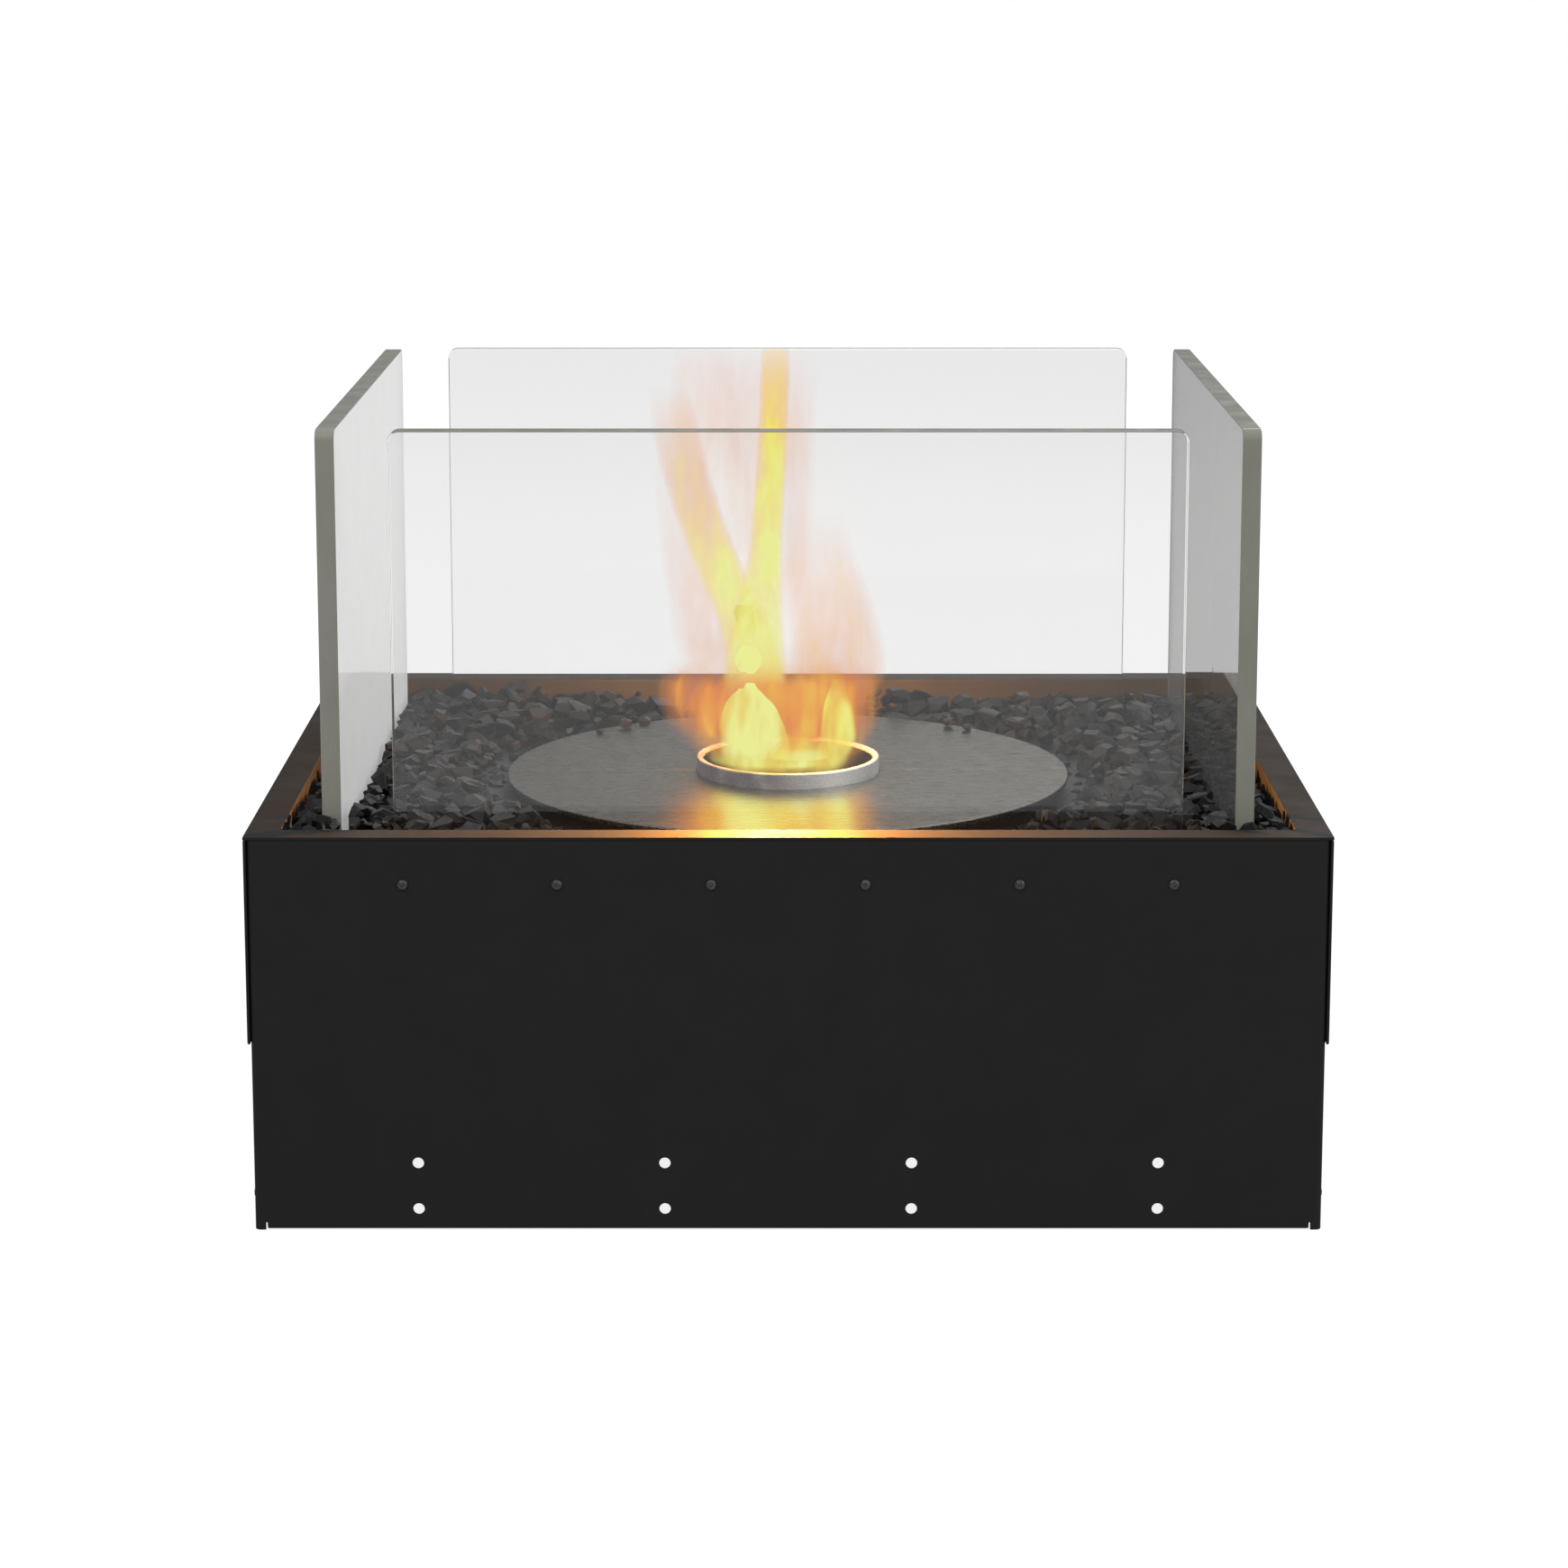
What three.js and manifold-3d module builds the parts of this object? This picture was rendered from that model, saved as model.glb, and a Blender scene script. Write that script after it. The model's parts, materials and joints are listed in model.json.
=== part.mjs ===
// Bioethanol fireplace: a folded-steel casing that carries a drop-in tray of stones, a round burner with a
// two-part top plate, and four glass wind screens that stand in holders on the tray's floor.
// Millimetres, +Z up, the front faces -Y. The origin is on the floor, under the middle of the casing.

import * as THREE from "three";
import { mergeVertices } from "three/addons/utils/BufferGeometryUtils.js";
import Module from "manifold-3d";

const wasm = await Module();
wasm.setup();

// ---------------------------------------------------------------- driving dimensions

// Clearances
const SEAT_GAP = 0.3; // between two pieces that touch
const CUT_OVERRUN = 5; // how far a cutting shape runs past the face that it opens

// Casing
const CASING_WIDTH = 565; // over the side skirts
const CASING_DEPTH = 450; // front face to back face
const CASING_HEIGHT = 212; // floor to the top of the tray's lip
const SHEET = 1.5; // steel sheet of the casing, tray, rails and shield
const BEND_RADIUS = 3; // outside radius where the front and back panels fold
const RETURN_DEPTH = 30; // side folds of the front and back panels
const BASE_FLANGE = 20; // bottom folds of the front and back panels
const SKIRT_HEIGHT = 111; // side covers, down from the lip

// Tray
const LIP_WIDTH = 18; // flat rim round the tray's opening
const TRAY_DEPTH = 52; // top of the lip to the tray's floor

// Screws
const SCREW_RADIUS = 1.5;
const SCREW_HEAD_RADIUS = 2.9;
const SCREW_HEAD_HEIGHT = 1.5;
const SCREW_LENGTH = 8;
const SCREW_DROP = 25; // upper row, below the top of the lip
const SCREW_PITCH = 80; // upper row on the front and the back
const SCREW_COUNT = 6;
const SKIRT_SCREW_PITCH = 160;
const SKIRT_SCREW_COUNT = 3;
const BASE_SCREW_HEIGHT = 16;
const RAIL_BELOW_SCREW = 14; // how far a rail reaches below the screw row

// Fixing holes in the front and back panels
const FIXING_RADIUS = 3;
const FIXING_PITCH = 129.5;
const FIXING_COUNT = 4;
const FIXING_ROW_LOW = 11.5; // above the floor
const FIXING_ROW_SPACING = 25;

// Burner
const PLATE_RADIUS = 160; // two-part top plate
const PLATE_THICKNESS = 3;
const PLATE_DROP = 12.5; // top of the lip down to the top of the plate
const PLATE_SEAM = 0.6; // between the two halves of the plate
const TANK_RADIUS = 115;
const TANK_HEIGHT = 86;
const TANK_WALL = 1.5;
const DECK_THICKNESS = 2;
const MOUTH_RADIUS = 48.5; // clear radius of the burner's opening
const NECK_WALL = 1.5;
const NECK_REACH = 40; // how far the neck hangs below the deck
const COLLAR_WALL = 1.8;
const COLLAR_RISE = 8.5; // above the top plate
const CORE_HEIGHT = 34; // absorbent core
const CORE_NECK_GAP = 12; // radial room round the neck for filling

// Burner well and heat shield under the tray
const WELL_CLEARANCE = 5; // radial, round the tank
const WELL_FLANGE = 18;
const SHIELD_AIR_GAP = 12; // under the well
const SHIELD_FLANGE = 20;
const SHIELD_END_GAP = 10; // open slot at the shield's front and back

// Glass screens
const GLASS_THICKNESS = 10;
const GLASS_RISE = 208; // above the lip
const GLASS_CORNER = 6; // rounded corners
const CORNER_GAP = 28; // between a front or back screen's end and the side screen
const SIDE_SCREEN_LAP = 5; // a side screen's end past the inner face of the front or back screen
const GLASS_LIFT_CLEARANCE = 0.5; // each side of a screen in its holder

// Glass holders
const HOLDER_WALL = 2;
const HOLDER_LENGTH = 40;
const HOLDER_HEIGHT = 26;
const HOLDER_FOOT = 8; // foot on each side of the slot
const HOLDER_END_INSET = 67; // end of a screen to the middle of its holder
const FRONT_HOLDER_GAP = 1.5; // tray wall to the foot of a front or back holder
const SIDE_HOLDER_GAP = 9; // tray wall to the foot of a side holder

// Stones
const STONE_CLEARANCE = 1; // round the screens, the holders and the tray's walls
const STONE_LEVEL = 6; // usual top of the bed below the lip
const STONE_LOW = 6; // bed beside the burner, below the top plate's underside
const STONE_SLOPE = 35; // width of the slope up from the burner
const STONE_CELL = 15; // spacing of the largest stones
const STONE_STRAY = 0.22; // how far a stone or a gap strays from its place, in cells
const STONE_CREST = 3.4; // how far a stone stands up from the bed, and a gap falls below it
const STONE_LUMP = 2; // height of the slow lumps in the bed
const LONG_WAVE = 21; // spacing of the larger and the smaller lumps
const SHORT_WAVE = 13;
const STONE_BACK_DROP = 6; // how far the bed falls towards the tray's back wall
const STONE_BACK_SLOPE = 37; // width of that fall
const STONE_BURNER_GAP = 3; // radial, round the top plate and the tank

// Facets of round pieces
const ROUND = 40;
const HOLE_ROUND = 12;
const SCREW_ROUND = 8;

// ---------------------------------------------------------------- derived dimensions

const halfWidth = CASING_WIDTH / 2;
const halfDepth = CASING_DEPTH / 2;
const lipUnder = CASING_HEIGHT - SHEET;
const wallTop = lipUnder - SEAT_GAP; // top of everything that carries the lip
const panelHalf = halfWidth - SHEET - SEAT_GAP; // front and back panels, inside the skirts
const sideOuter = panelHalf - SHEET - SEAT_GAP; // side panels, inside the returns
const sideInner = sideOuter - SHEET;
const frontInner = halfDepth - SHEET;
const trayHalfX = halfWidth - LIP_WIDTH; // clear half-sizes of the tray
const trayHalfY = halfDepth - LIP_WIDTH;
const trayFloor = CASING_HEIGHT - TRAY_DEPTH;
const trayUnder = trayFloor - SHEET;
const screwHeight = CASING_HEIGHT - SCREW_DROP;
const railBottom = screwHeight - RAIL_BELOW_SCREW;
const screwHole = SCREW_RADIUS + SEAT_GAP;
const baseScrewInset = RETURN_DEPTH / 2; // in the middle of a return

const plateTop = CASING_HEIGHT - PLATE_DROP;
const plateUnder = plateTop - PLATE_THICKNESS;
const deckTop = plateUnder - SEAT_GAP;
const deckUnder = deckTop - DECK_THICKNESS;
const tankTop = deckUnder - SEAT_GAP;
const tankBottom = tankTop - TANK_HEIGHT;
const neckOuter = MOUTH_RADIUS + NECK_WALL;
const collarInner = neckOuter + SEAT_GAP;
const collarOuter = collarInner + COLLAR_WALL;
const collarTop = plateTop + COLLAR_RISE;
const plateInner = collarOuter + SEAT_GAP;

const wellInner = TANK_RADIUS + WELL_CLEARANCE;
const wellFloor = tankBottom - SEAT_GAP;
const wellBottom = wellFloor - SHEET;
const shieldTop = wellBottom - SHIELD_AIR_GAP;

const slotHalf = GLASS_THICKNESS / 2 + GLASS_LIFT_CLEARANCE;
const cheekOuter = slotHalf + HOLDER_WALL;
const footOuter = cheekOuter + HOLDER_FOOT;
const holderFloor = trayFloor + SEAT_GAP; // underside of a holder
const glassBottom = holderFloor + HOLDER_WALL + SEAT_GAP;
const glassTop = CASING_HEIGHT + GLASS_RISE;
const frontGlassY = trayHalfY - FRONT_HOLDER_GAP - footOuter;
const sideGlassX = trayHalfX - SIDE_HOLDER_GAP - footOuter;
const frontGlassWidth = 2 * (sideGlassX - GLASS_THICKNESS / 2 - CORNER_GAP);
const sideGlassWidth = 2 * (frontGlassY - GLASS_THICKNESS / 2 + SIDE_SCREEN_LAP);

// ---------------------------------------------------------------- materials

// Each piece gets a material of its own.
const finish = (color, roughness, metalness) =>
  new THREE.MeshStandardMaterial({ color, roughness, metalness });

const blackSteel = () => finish(0x242424, 0.6, 0.1);
const zincSteel = () => finish(0x8d9092, 0.5, 0.8);
const blackScrew = () => finish(0x3a3a3c, 0.4, 0.6);
const brushedSteel = () => finish(0x9a978f, 0.35, 1);
const polishedSteel = () => finish(0xd8d8d8, 0.08, 1);
const ceramicWool = () => finish(0xe6e2d8, 0.95, 0);
const blackStone = () => finish(0x2b2d2e, 0.55, 0);
const clearGlass = () => {
  const glass = finish(0xe4ebe6, 0.05, 0);
  glass.transparent = true;
  glass.opacity = 0.3;
  return glass;
};

// ---------------------------------------------------------------- shape helpers

// A closed three.js geometry as a solid that can be cut and joined.
function solidOf(geometry) {
  const bare = geometry.clone();
  bare.deleteAttribute("normal");
  bare.deleteAttribute("uv");
  const merged = mergeVertices(bare, 1e-4);
  const index = merged.index.array;
  const triVerts = [];
  for (let i = 0; i < index.length; i += 3) {
    const [a, b, c] = [index[i], index[i + 1], index[i + 2]];
    if (a !== b && b !== c && c !== a) triVerts.push(a, b, c);
  }
  const vertProperties = merged.attributes.position.array;
  const mesh = new wasm.Mesh({ numProp: 3, vertProperties, triVerts: new Uint32Array(triVerts) });
  return new wasm.Manifold(mesh);
}

// A solid as a geometry.
function geometryOf(solid) {
  const { vertProperties, triVerts } = solid.getMesh();
  const geometry = new THREE.BufferGeometry();
  geometry.setAttribute("position", new THREE.BufferAttribute(new Float32Array(vertProperties), 3));
  geometry.setIndex(new THREE.BufferAttribute(new Uint32Array(triVerts), 1));
  geometry.computeVertexNormals();
  return geometry;
}

// A box between two opposite corners.
function block([x0, y0, z0], [x1, y1, z1]) {
  const box = new THREE.BoxGeometry(x1 - x0, y1 - y0, z1 - z0);
  return solidOf(box.translate((x0 + x1) / 2, (y0 + y1) / 2, (z0 + z1) / 2));
}

// A closed outline of [y, z] points, extruded along X about the middle.
function extruded(outline, length) {
  const shape = new THREE.Shape(outline.map(([y, z]) => new THREE.Vector2(y, z)));
  const bar = new THREE.ExtrudeGeometry(shape, { depth: length, bevelEnabled: false });
  const alongX = new THREE.Matrix4().set(0, 0, 1, -length / 2, 1, 0, 0, 0, 0, 1, 0, 0, 0, 0, 0, 1);
  return solidOf(bar.applyMatrix4(alongX));
}

// A closed profile of [radius, height] points, turned about the Z axis.
function turned(profile, segments = ROUND) {
  const points = profile.map(([radius, height]) => new THREE.Vector2(radius, height));
  points.push(points[0].clone());
  return solidOf(new THREE.LatheGeometry(points, segments).rotateX(Math.PI / 2));
}

// A ring, or a disc where the inner radius is 0.
function ring(inner, outer, bottom, top, segments = ROUND) {
  const profile = [[inner, bottom], [outer, bottom], [outer, top], [inner, top]];
  return turned(profile, segments);
}

// Round cutters along X or Y, one at each [x, y, z] place.
function drills(axis, radius, length, places) {
  const bit = new THREE.CylinderGeometry(radius, radius, length, HOLE_ROUND);
  if (axis === "x") bit.rotateZ(Math.PI / 2);
  return places.map(([x, y, z]) => solidOf(bit.clone().translate(x, y, z)));
}

const cutAll = (solid, cutters) => cutters.reduce((rest, cutter) => rest.subtract(cutter), solid);

// Evenly pitched places about zero.
const spread = (count, pitch) =>
  Array.from({ length: count }, (_, i) => (i - (count - 1) / 2) * pitch);

// A smooth step from 0 to 1.
function ease(t) {
  const s = Math.min(1, Math.max(0, t));
  return s * s * (3 - 2 * s);
}

const part = new THREE.Group();

// Adds a solid to the part as a named piece.
function place(name, solid, material, parent = part) {
  const mesh = new THREE.Mesh(geometryOf(solid), material);
  mesh.name = name;
  parent.add(mesh);
  return mesh;
}

// ---------------------------------------------------------------- casing

const screwRow = spread(SCREW_COUNT, SCREW_PITCH);
const skirtScrewRow = spread(SKIRT_SCREW_COUNT, SKIRT_SCREW_PITCH);
const fixingRow = spread(FIXING_COUNT, FIXING_PITCH);

// Front panel: a sheet folded back at both sides and at the bottom.
function casingPanel() {
  const inside = Math.max(BEND_RADIUS - SHEET, 0.1);
  const returnEnd = -halfDepth + RETURN_DEPTH;
  const plan = new THREE.Shape();
  plan.moveTo(-panelHalf, returnEnd);
  plan.lineTo(-panelHalf, -halfDepth + BEND_RADIUS);
  plan.absarc(-panelHalf + BEND_RADIUS, -halfDepth + BEND_RADIUS, BEND_RADIUS, Math.PI, Math.PI * 1.5);
  plan.lineTo(panelHalf - BEND_RADIUS, -halfDepth);
  plan.absarc(panelHalf - BEND_RADIUS, -halfDepth + BEND_RADIUS, BEND_RADIUS, Math.PI * 1.5, Math.PI * 2);
  plan.lineTo(panelHalf, returnEnd);
  plan.lineTo(panelHalf - SHEET, returnEnd);
  plan.lineTo(panelHalf - SHEET, -frontInner + inside);
  plan.absarc(panelHalf - SHEET - inside, -frontInner + inside, inside, 0, -Math.PI / 2, true);
  plan.lineTo(-panelHalf + SHEET + inside, -frontInner);
  plan.absarc(-panelHalf + SHEET + inside, -frontInner + inside, inside, -Math.PI / 2, -Math.PI, true);
  plan.lineTo(-panelHalf + SHEET, returnEnd);
  const options = { depth: wallTop, bevelEnabled: false, curveSegments: 4 };
  const folded = solidOf(new THREE.ExtrudeGeometry(plan, options));

  const flangeHalf = sideInner - SEAT_GAP - BEND_RADIUS;
  const flange = block(
    [-flangeHalf, -frontInner - SHEET / 2, 0],
    [flangeHalf, -halfDepth + BASE_FLANGE, SHEET],
  );
  const fixings = [FIXING_ROW_LOW, FIXING_ROW_LOW + FIXING_ROW_SPACING].flatMap((height) =>
    fixingRow.map((x) => [x, -halfDepth, height]),
  );
  const screws = screwRow.map((x) => [x, -halfDepth, screwHeight]);
  const baseScrews = [-1, 1].map((side) => [
    side * panelHalf,
    -halfDepth + baseScrewInset,
    BASE_SCREW_HEIGHT,
  ]);
  const through = 2 * (SHEET + CUT_OVERRUN);
  return cutAll(folded.add(flange), [
    ...drills("y", FIXING_RADIUS, through, fixings),
    ...drills("y", screwHole, through, screws),
    ...drills("x", screwHole, through, baseScrews),
  ]);
}

// Right side panel, a flat sheet that starts behind the bends and lies inside the returns.
function sidePanel() {
  const endY = halfDepth - BEND_RADIUS - SEAT_GAP;
  const sheet = block([sideInner, -endY, 0], [sideOuter, endY, wallTop]);
  const skirtScrews = skirtScrewRow.map((y) => [sideOuter, y, screwHeight]);
  const baseScrews = [-1, 1].map((end) => [
    sideOuter,
    end * (halfDepth - baseScrewInset),
    BASE_SCREW_HEIGHT,
  ]);
  return cutAll(sheet, drills("x", screwHole, 2 * (SHEET + CUT_OVERRUN), [...skirtScrews, ...baseScrews]));
}

// Right skirt, the cover over the upper part of the side.
function skirt() {
  const sheet = block(
    [halfWidth - SHEET, -halfDepth, CASING_HEIGHT - SKIRT_HEIGHT],
    [halfWidth, halfDepth, wallTop],
  );
  const screws = skirtScrewRow.map((y) => [halfWidth, y, screwHeight]);
  return cutAll(sheet, drills("x", screwHole, 2 * (SHEET + CUT_OVERRUN), screws));
}

// A channel that runs along X, with its web at near Y and its two flanges towards far Y.
function rail(length, near, far, screws) {
  const channel = extruded(
    [
      [near, railBottom],
      [far, railBottom],
      [far, railBottom + SHEET],
      [near + SHEET, railBottom + SHEET],
      [near + SHEET, wallTop - SHEET],
      [far, wallTop - SHEET],
      [far, wallTop],
      [near, wallTop],
    ],
    length,
  );
  const places = screws.map((x) => [x, near, screwHeight]);
  return cutAll(channel, drills("y", screwHole, 4 * SHEET, places));
}

function casing() {
  for (const [name, turn] of [["front_panel", 0], ["back_panel", Math.PI]]) {
    place(name, casingPanel(), blackSteel()).rotation.z = turn;
  }
  for (const [side, turn] of [["right", 0], ["left", Math.PI]]) {
    place(`${side}_side_panel`, sidePanel(), blackSteel()).rotation.z = turn;
    place(`${side}_skirt`, skirt(), blackSteel()).rotation.z = turn;
  }

  const endRailLength = 2 * (sideInner - SEAT_GAP);
  const endNear = -frontInner + SEAT_GAP;
  const endFar = -(trayHalfY + SHEET + SEAT_GAP);
  for (const [name, turn] of [["front_rail", 0], ["back_rail", Math.PI]]) {
    place(name, rail(endRailLength, endNear, endFar, screwRow), zincSteel()).rotation.z = turn;
  }
  const sideRailLength = 2 * (trayHalfY + SHEET);
  const sideNear = -sideInner + SEAT_GAP;
  const sideFar = -(trayHalfX + SHEET + SEAT_GAP);
  for (const [name, turn] of [["right_rail", Math.PI / 2], ["left_rail", -Math.PI / 2]]) {
    const channel = rail(sideRailLength, sideNear, sideFar, skirtScrewRow);
    place(name, channel, zincSteel()).rotation.z = turn;
  }
}

// ---------------------------------------------------------------- tray, well and shield

function tray() {
  const lip = block([-halfWidth, -halfDepth, lipUnder], [halfWidth, halfDepth, CASING_HEIGHT]);
  const wallX = trayHalfX + SHEET;
  const wallY = trayHalfY + SHEET;
  const pan = block([-wallX, -wallY, trayUnder], [wallX, wallY, CASING_HEIGHT - SHEET / 2]);
  const inside = block(
    [-trayHalfX, -trayHalfY, trayFloor],
    [trayHalfX, trayHalfY, CASING_HEIGHT + CUT_OVERRUN],
  );
  const mouth = ring(0, wellInner, trayUnder - CUT_OVERRUN, trayFloor + CUT_OVERRUN);
  place("fire_tray", cutAll(lip.add(pan), [inside, mouth]), blackSteel());
}

// A round cup that hangs under the hole in the tray's floor by its flange.
function burnerWell() {
  const outer = wellInner + SHEET;
  const top = trayUnder - SEAT_GAP;
  const well = turned([
    [0, wellBottom],
    [outer, wellBottom],
    [outer, top - SHEET],
    [outer + WELL_FLANGE, top - SHEET],
    [outer + WELL_FLANGE, top],
    [wellInner, top],
    [wellInner, wellFloor],
    [0, wellFloor],
  ]);
  place("burner_well", well, zincSteel());
}

// A plate with a turned-up flange at each side, fixed to the side panels.
function heatShield() {
  const half = sideInner - SEAT_GAP;
  const bottom = shieldTop - SHEET;
  const flangeTop = shieldTop + SHIELD_FLANGE;
  const shield = extruded(
    [
      [-half, bottom],
      [half, bottom],
      [half, flangeTop],
      [half - SHEET, flangeTop],
      [half - SHEET, shieldTop],
      [-half + SHEET, shieldTop],
      [-half + SHEET, flangeTop],
      [-half, flangeTop],
    ],
    2 * (frontInner - SHIELD_END_GAP),
  );
  place("heat_shield", shield, zincSteel()).rotation.z = Math.PI / 2;
}

// ---------------------------------------------------------------- burner

function burner() {
  const tank = turned([
    [0, tankBottom],
    [TANK_RADIUS, tankBottom],
    [TANK_RADIUS, tankTop],
    [TANK_RADIUS - TANK_WALL, tankTop],
    [TANK_RADIUS - TANK_WALL, tankBottom + TANK_WALL],
    [0, tankBottom + TANK_WALL],
  ]);
  place("burner_tank", tank, brushedSteel());

  const coreBottom = tankBottom + TANK_WALL + SEAT_GAP;
  const coreInner = neckOuter + CORE_NECK_GAP;
  const coreOuter = TANK_RADIUS - TANK_WALL - SEAT_GAP;
  const core = ring(coreInner, coreOuter, coreBottom, coreBottom + CORE_HEIGHT);
  place("absorbent_core", core, ceramicWool());

  place("burner_deck", ring(neckOuter + SEAT_GAP, TANK_RADIUS, deckUnder, deckTop), brushedSteel());

  // The neck hangs on the deck by a flange, and the collar caps both its flange and its top edge.
  const flangeBottom = deckTop + SEAT_GAP;
  const flangeTop = flangeBottom + NECK_WALL;
  const neckTop = collarTop - COLLAR_WALL - SEAT_GAP;
  const neck = turned([
    [MOUTH_RADIUS, deckUnder - NECK_REACH],
    [neckOuter, deckUnder - NECK_REACH],
    [neckOuter, flangeBottom],
    [collarOuter, flangeBottom],
    [collarOuter, flangeTop],
    [neckOuter, flangeTop],
    [neckOuter, neckTop],
    [MOUTH_RADIUS, neckTop],
  ]);
  place("burner_neck", neck, brushedSteel());

  const roll = COLLAR_WALL / 2; // rounding of the collar's top edge
  const collar = turned([
    [collarInner, flangeTop + SEAT_GAP],
    [collarOuter, flangeTop + SEAT_GAP],
    [collarOuter, collarTop - roll],
    [collarOuter - roll, collarTop],
    [MOUTH_RADIUS + roll / 2, collarTop],
    [MOUTH_RADIUS, collarTop - roll / 2],
    [MOUTH_RADIUS, collarTop - COLLAR_WALL],
    [collarInner, collarTop - COLLAR_WALL],
  ]);
  place("burner_collar", collar, polishedSteel());

  const plate = ring(plateInner, PLATE_RADIUS, plateUnder, plateTop, 2 * ROUND);
  for (const [name, end] of [["top_plate_front", -1], ["top_plate_back", 1]]) {
    const reach = PLATE_RADIUS + CUT_OVERRUN;
    const near = (end * PLATE_SEAM) / 2;
    const far = end * reach;
    const keep = block(
      [-reach, Math.min(near, far), plateUnder - CUT_OVERRUN],
      [reach, Math.max(near, far), plateTop + CUT_OVERRUN],
    );
    place(name, plate.intersect(keep), brushedSteel());
  }
}

// ---------------------------------------------------------------- glass and its holders

// A screen that stands across X, in the middle of its own frame.
function screen(width) {
  const half = width / 2;
  const corner = GLASS_CORNER;
  const face = new THREE.Shape();
  face.moveTo(-half + corner, glassBottom);
  face.lineTo(half - corner, glassBottom);
  face.absarc(half - corner, glassBottom + corner, corner, -Math.PI / 2, 0);
  face.lineTo(half, glassTop - corner);
  face.absarc(half - corner, glassTop - corner, corner, 0, Math.PI / 2);
  face.lineTo(-half + corner, glassTop);
  face.absarc(-half + corner, glassTop - corner, corner, Math.PI / 2, Math.PI);
  face.lineTo(-half, glassBottom + corner);
  face.absarc(-half + corner, glassBottom + corner, corner, Math.PI, Math.PI * 1.5);
  const options = { depth: GLASS_THICKNESS, bevelEnabled: false, curveSegments: 4 };
  const upright = new THREE.ExtrudeGeometry(face, options).rotateX(Math.PI / 2);
  return solidOf(upright.translate(0, GLASS_THICKNESS / 2, 0));
}

// A saddle with a slot along X, open at the top, on two feet.
function holder() {
  const footTop = holderFloor + HOLDER_WALL;
  const top = holderFloor + HOLDER_HEIGHT;
  return extruded(
    [
      [-footOuter, holderFloor],
      [footOuter, holderFloor],
      [footOuter, footTop],
      [cheekOuter, footTop],
      [cheekOuter, top],
      [slotHalf, top],
      [slotHalf, footTop],
      [-slotHalf, footTop],
      [-slotHalf, top],
      [-cheekOuter, top],
      [-cheekOuter, footTop],
      [-footOuter, footTop],
    ],
    HOLDER_LENGTH,
  );
}

// Each screen's name, its place, its turn about Z and its width.
const screens = [
  ["front", 0, -frontGlassY, 0, frontGlassWidth],
  ["back", 0, frontGlassY, 0, frontGlassWidth],
  ["left", -sideGlassX, 0, Math.PI / 2, sideGlassWidth],
  ["right", sideGlassX, 0, Math.PI / 2, sideGlassWidth],
];

// The places of a screen's two holders along it.
const holderPlaces = (width) => spread(2, width - 2 * HOLDER_END_INSET);

function glazing() {
  for (const [name, x, y, turn, width] of screens) {
    const group = new THREE.Group();
    group.position.set(x, y, 0);
    group.rotation.z = turn;
    part.add(group);
    place(`${name}_glass`, screen(width), clearGlass(), group);
    holderPlaces(width).forEach((along, i) => {
      place(`${name}_glass_holder_${i + 1}`, holder(), zincSteel(), group).position.x = along;
    });
  }
}

// ---------------------------------------------------------------- stones

// How full the bed is at a place: 0 round the burner and in front of it, 1 elsewhere.
function stoneFill(x, y) {
  const rise = ease((Math.hypot(x, y) - PLATE_RADIUS - STONE_BURNER_GAP) / STONE_SLOPE);
  const forward = ease((-y - TANK_RADIUS) / STONE_SLOPE);
  const middle = 1 - ease((Math.abs(x) - TANK_RADIUS) / STONE_SLOPE);
  return rise * (1 - forward * middle);
}

// Height of the bed at a place, with a stone's crest (1) or a gap between stones (-1) on it.
function stoneHeight(x, y, crest) {
  const low = plateUnder - STONE_LOW;
  const fall = STONE_BACK_DROP * ease((y - trayHalfY + STONE_BACK_SLOPE) / STONE_BACK_SLOPE);
  const wave = (u, v, length) => Math.sin(u / length + 1.7 * Math.sin(v / (1.3 * length)));
  const lumps = STONE_LUMP * (0.6 * wave(x, y, LONG_WAVE) + 0.4 * wave(y, x, SHORT_WAVE));
  const high = CASING_HEIGHT - STONE_LEVEL - fall + lumps + STONE_CREST * crest;
  return low + (high - low) * stoneFill(x, y);
}

// A number from -1 to 1 that depends on a place in the grid of stones alone.
function chance(column, row, kind) {
  const wave = 43758.5453 * Math.sin(12.9898 * column + 78.233 * row + 37.719 * kind);
  return 2 * (wave - Math.floor(wave)) - 1;
}

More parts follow.
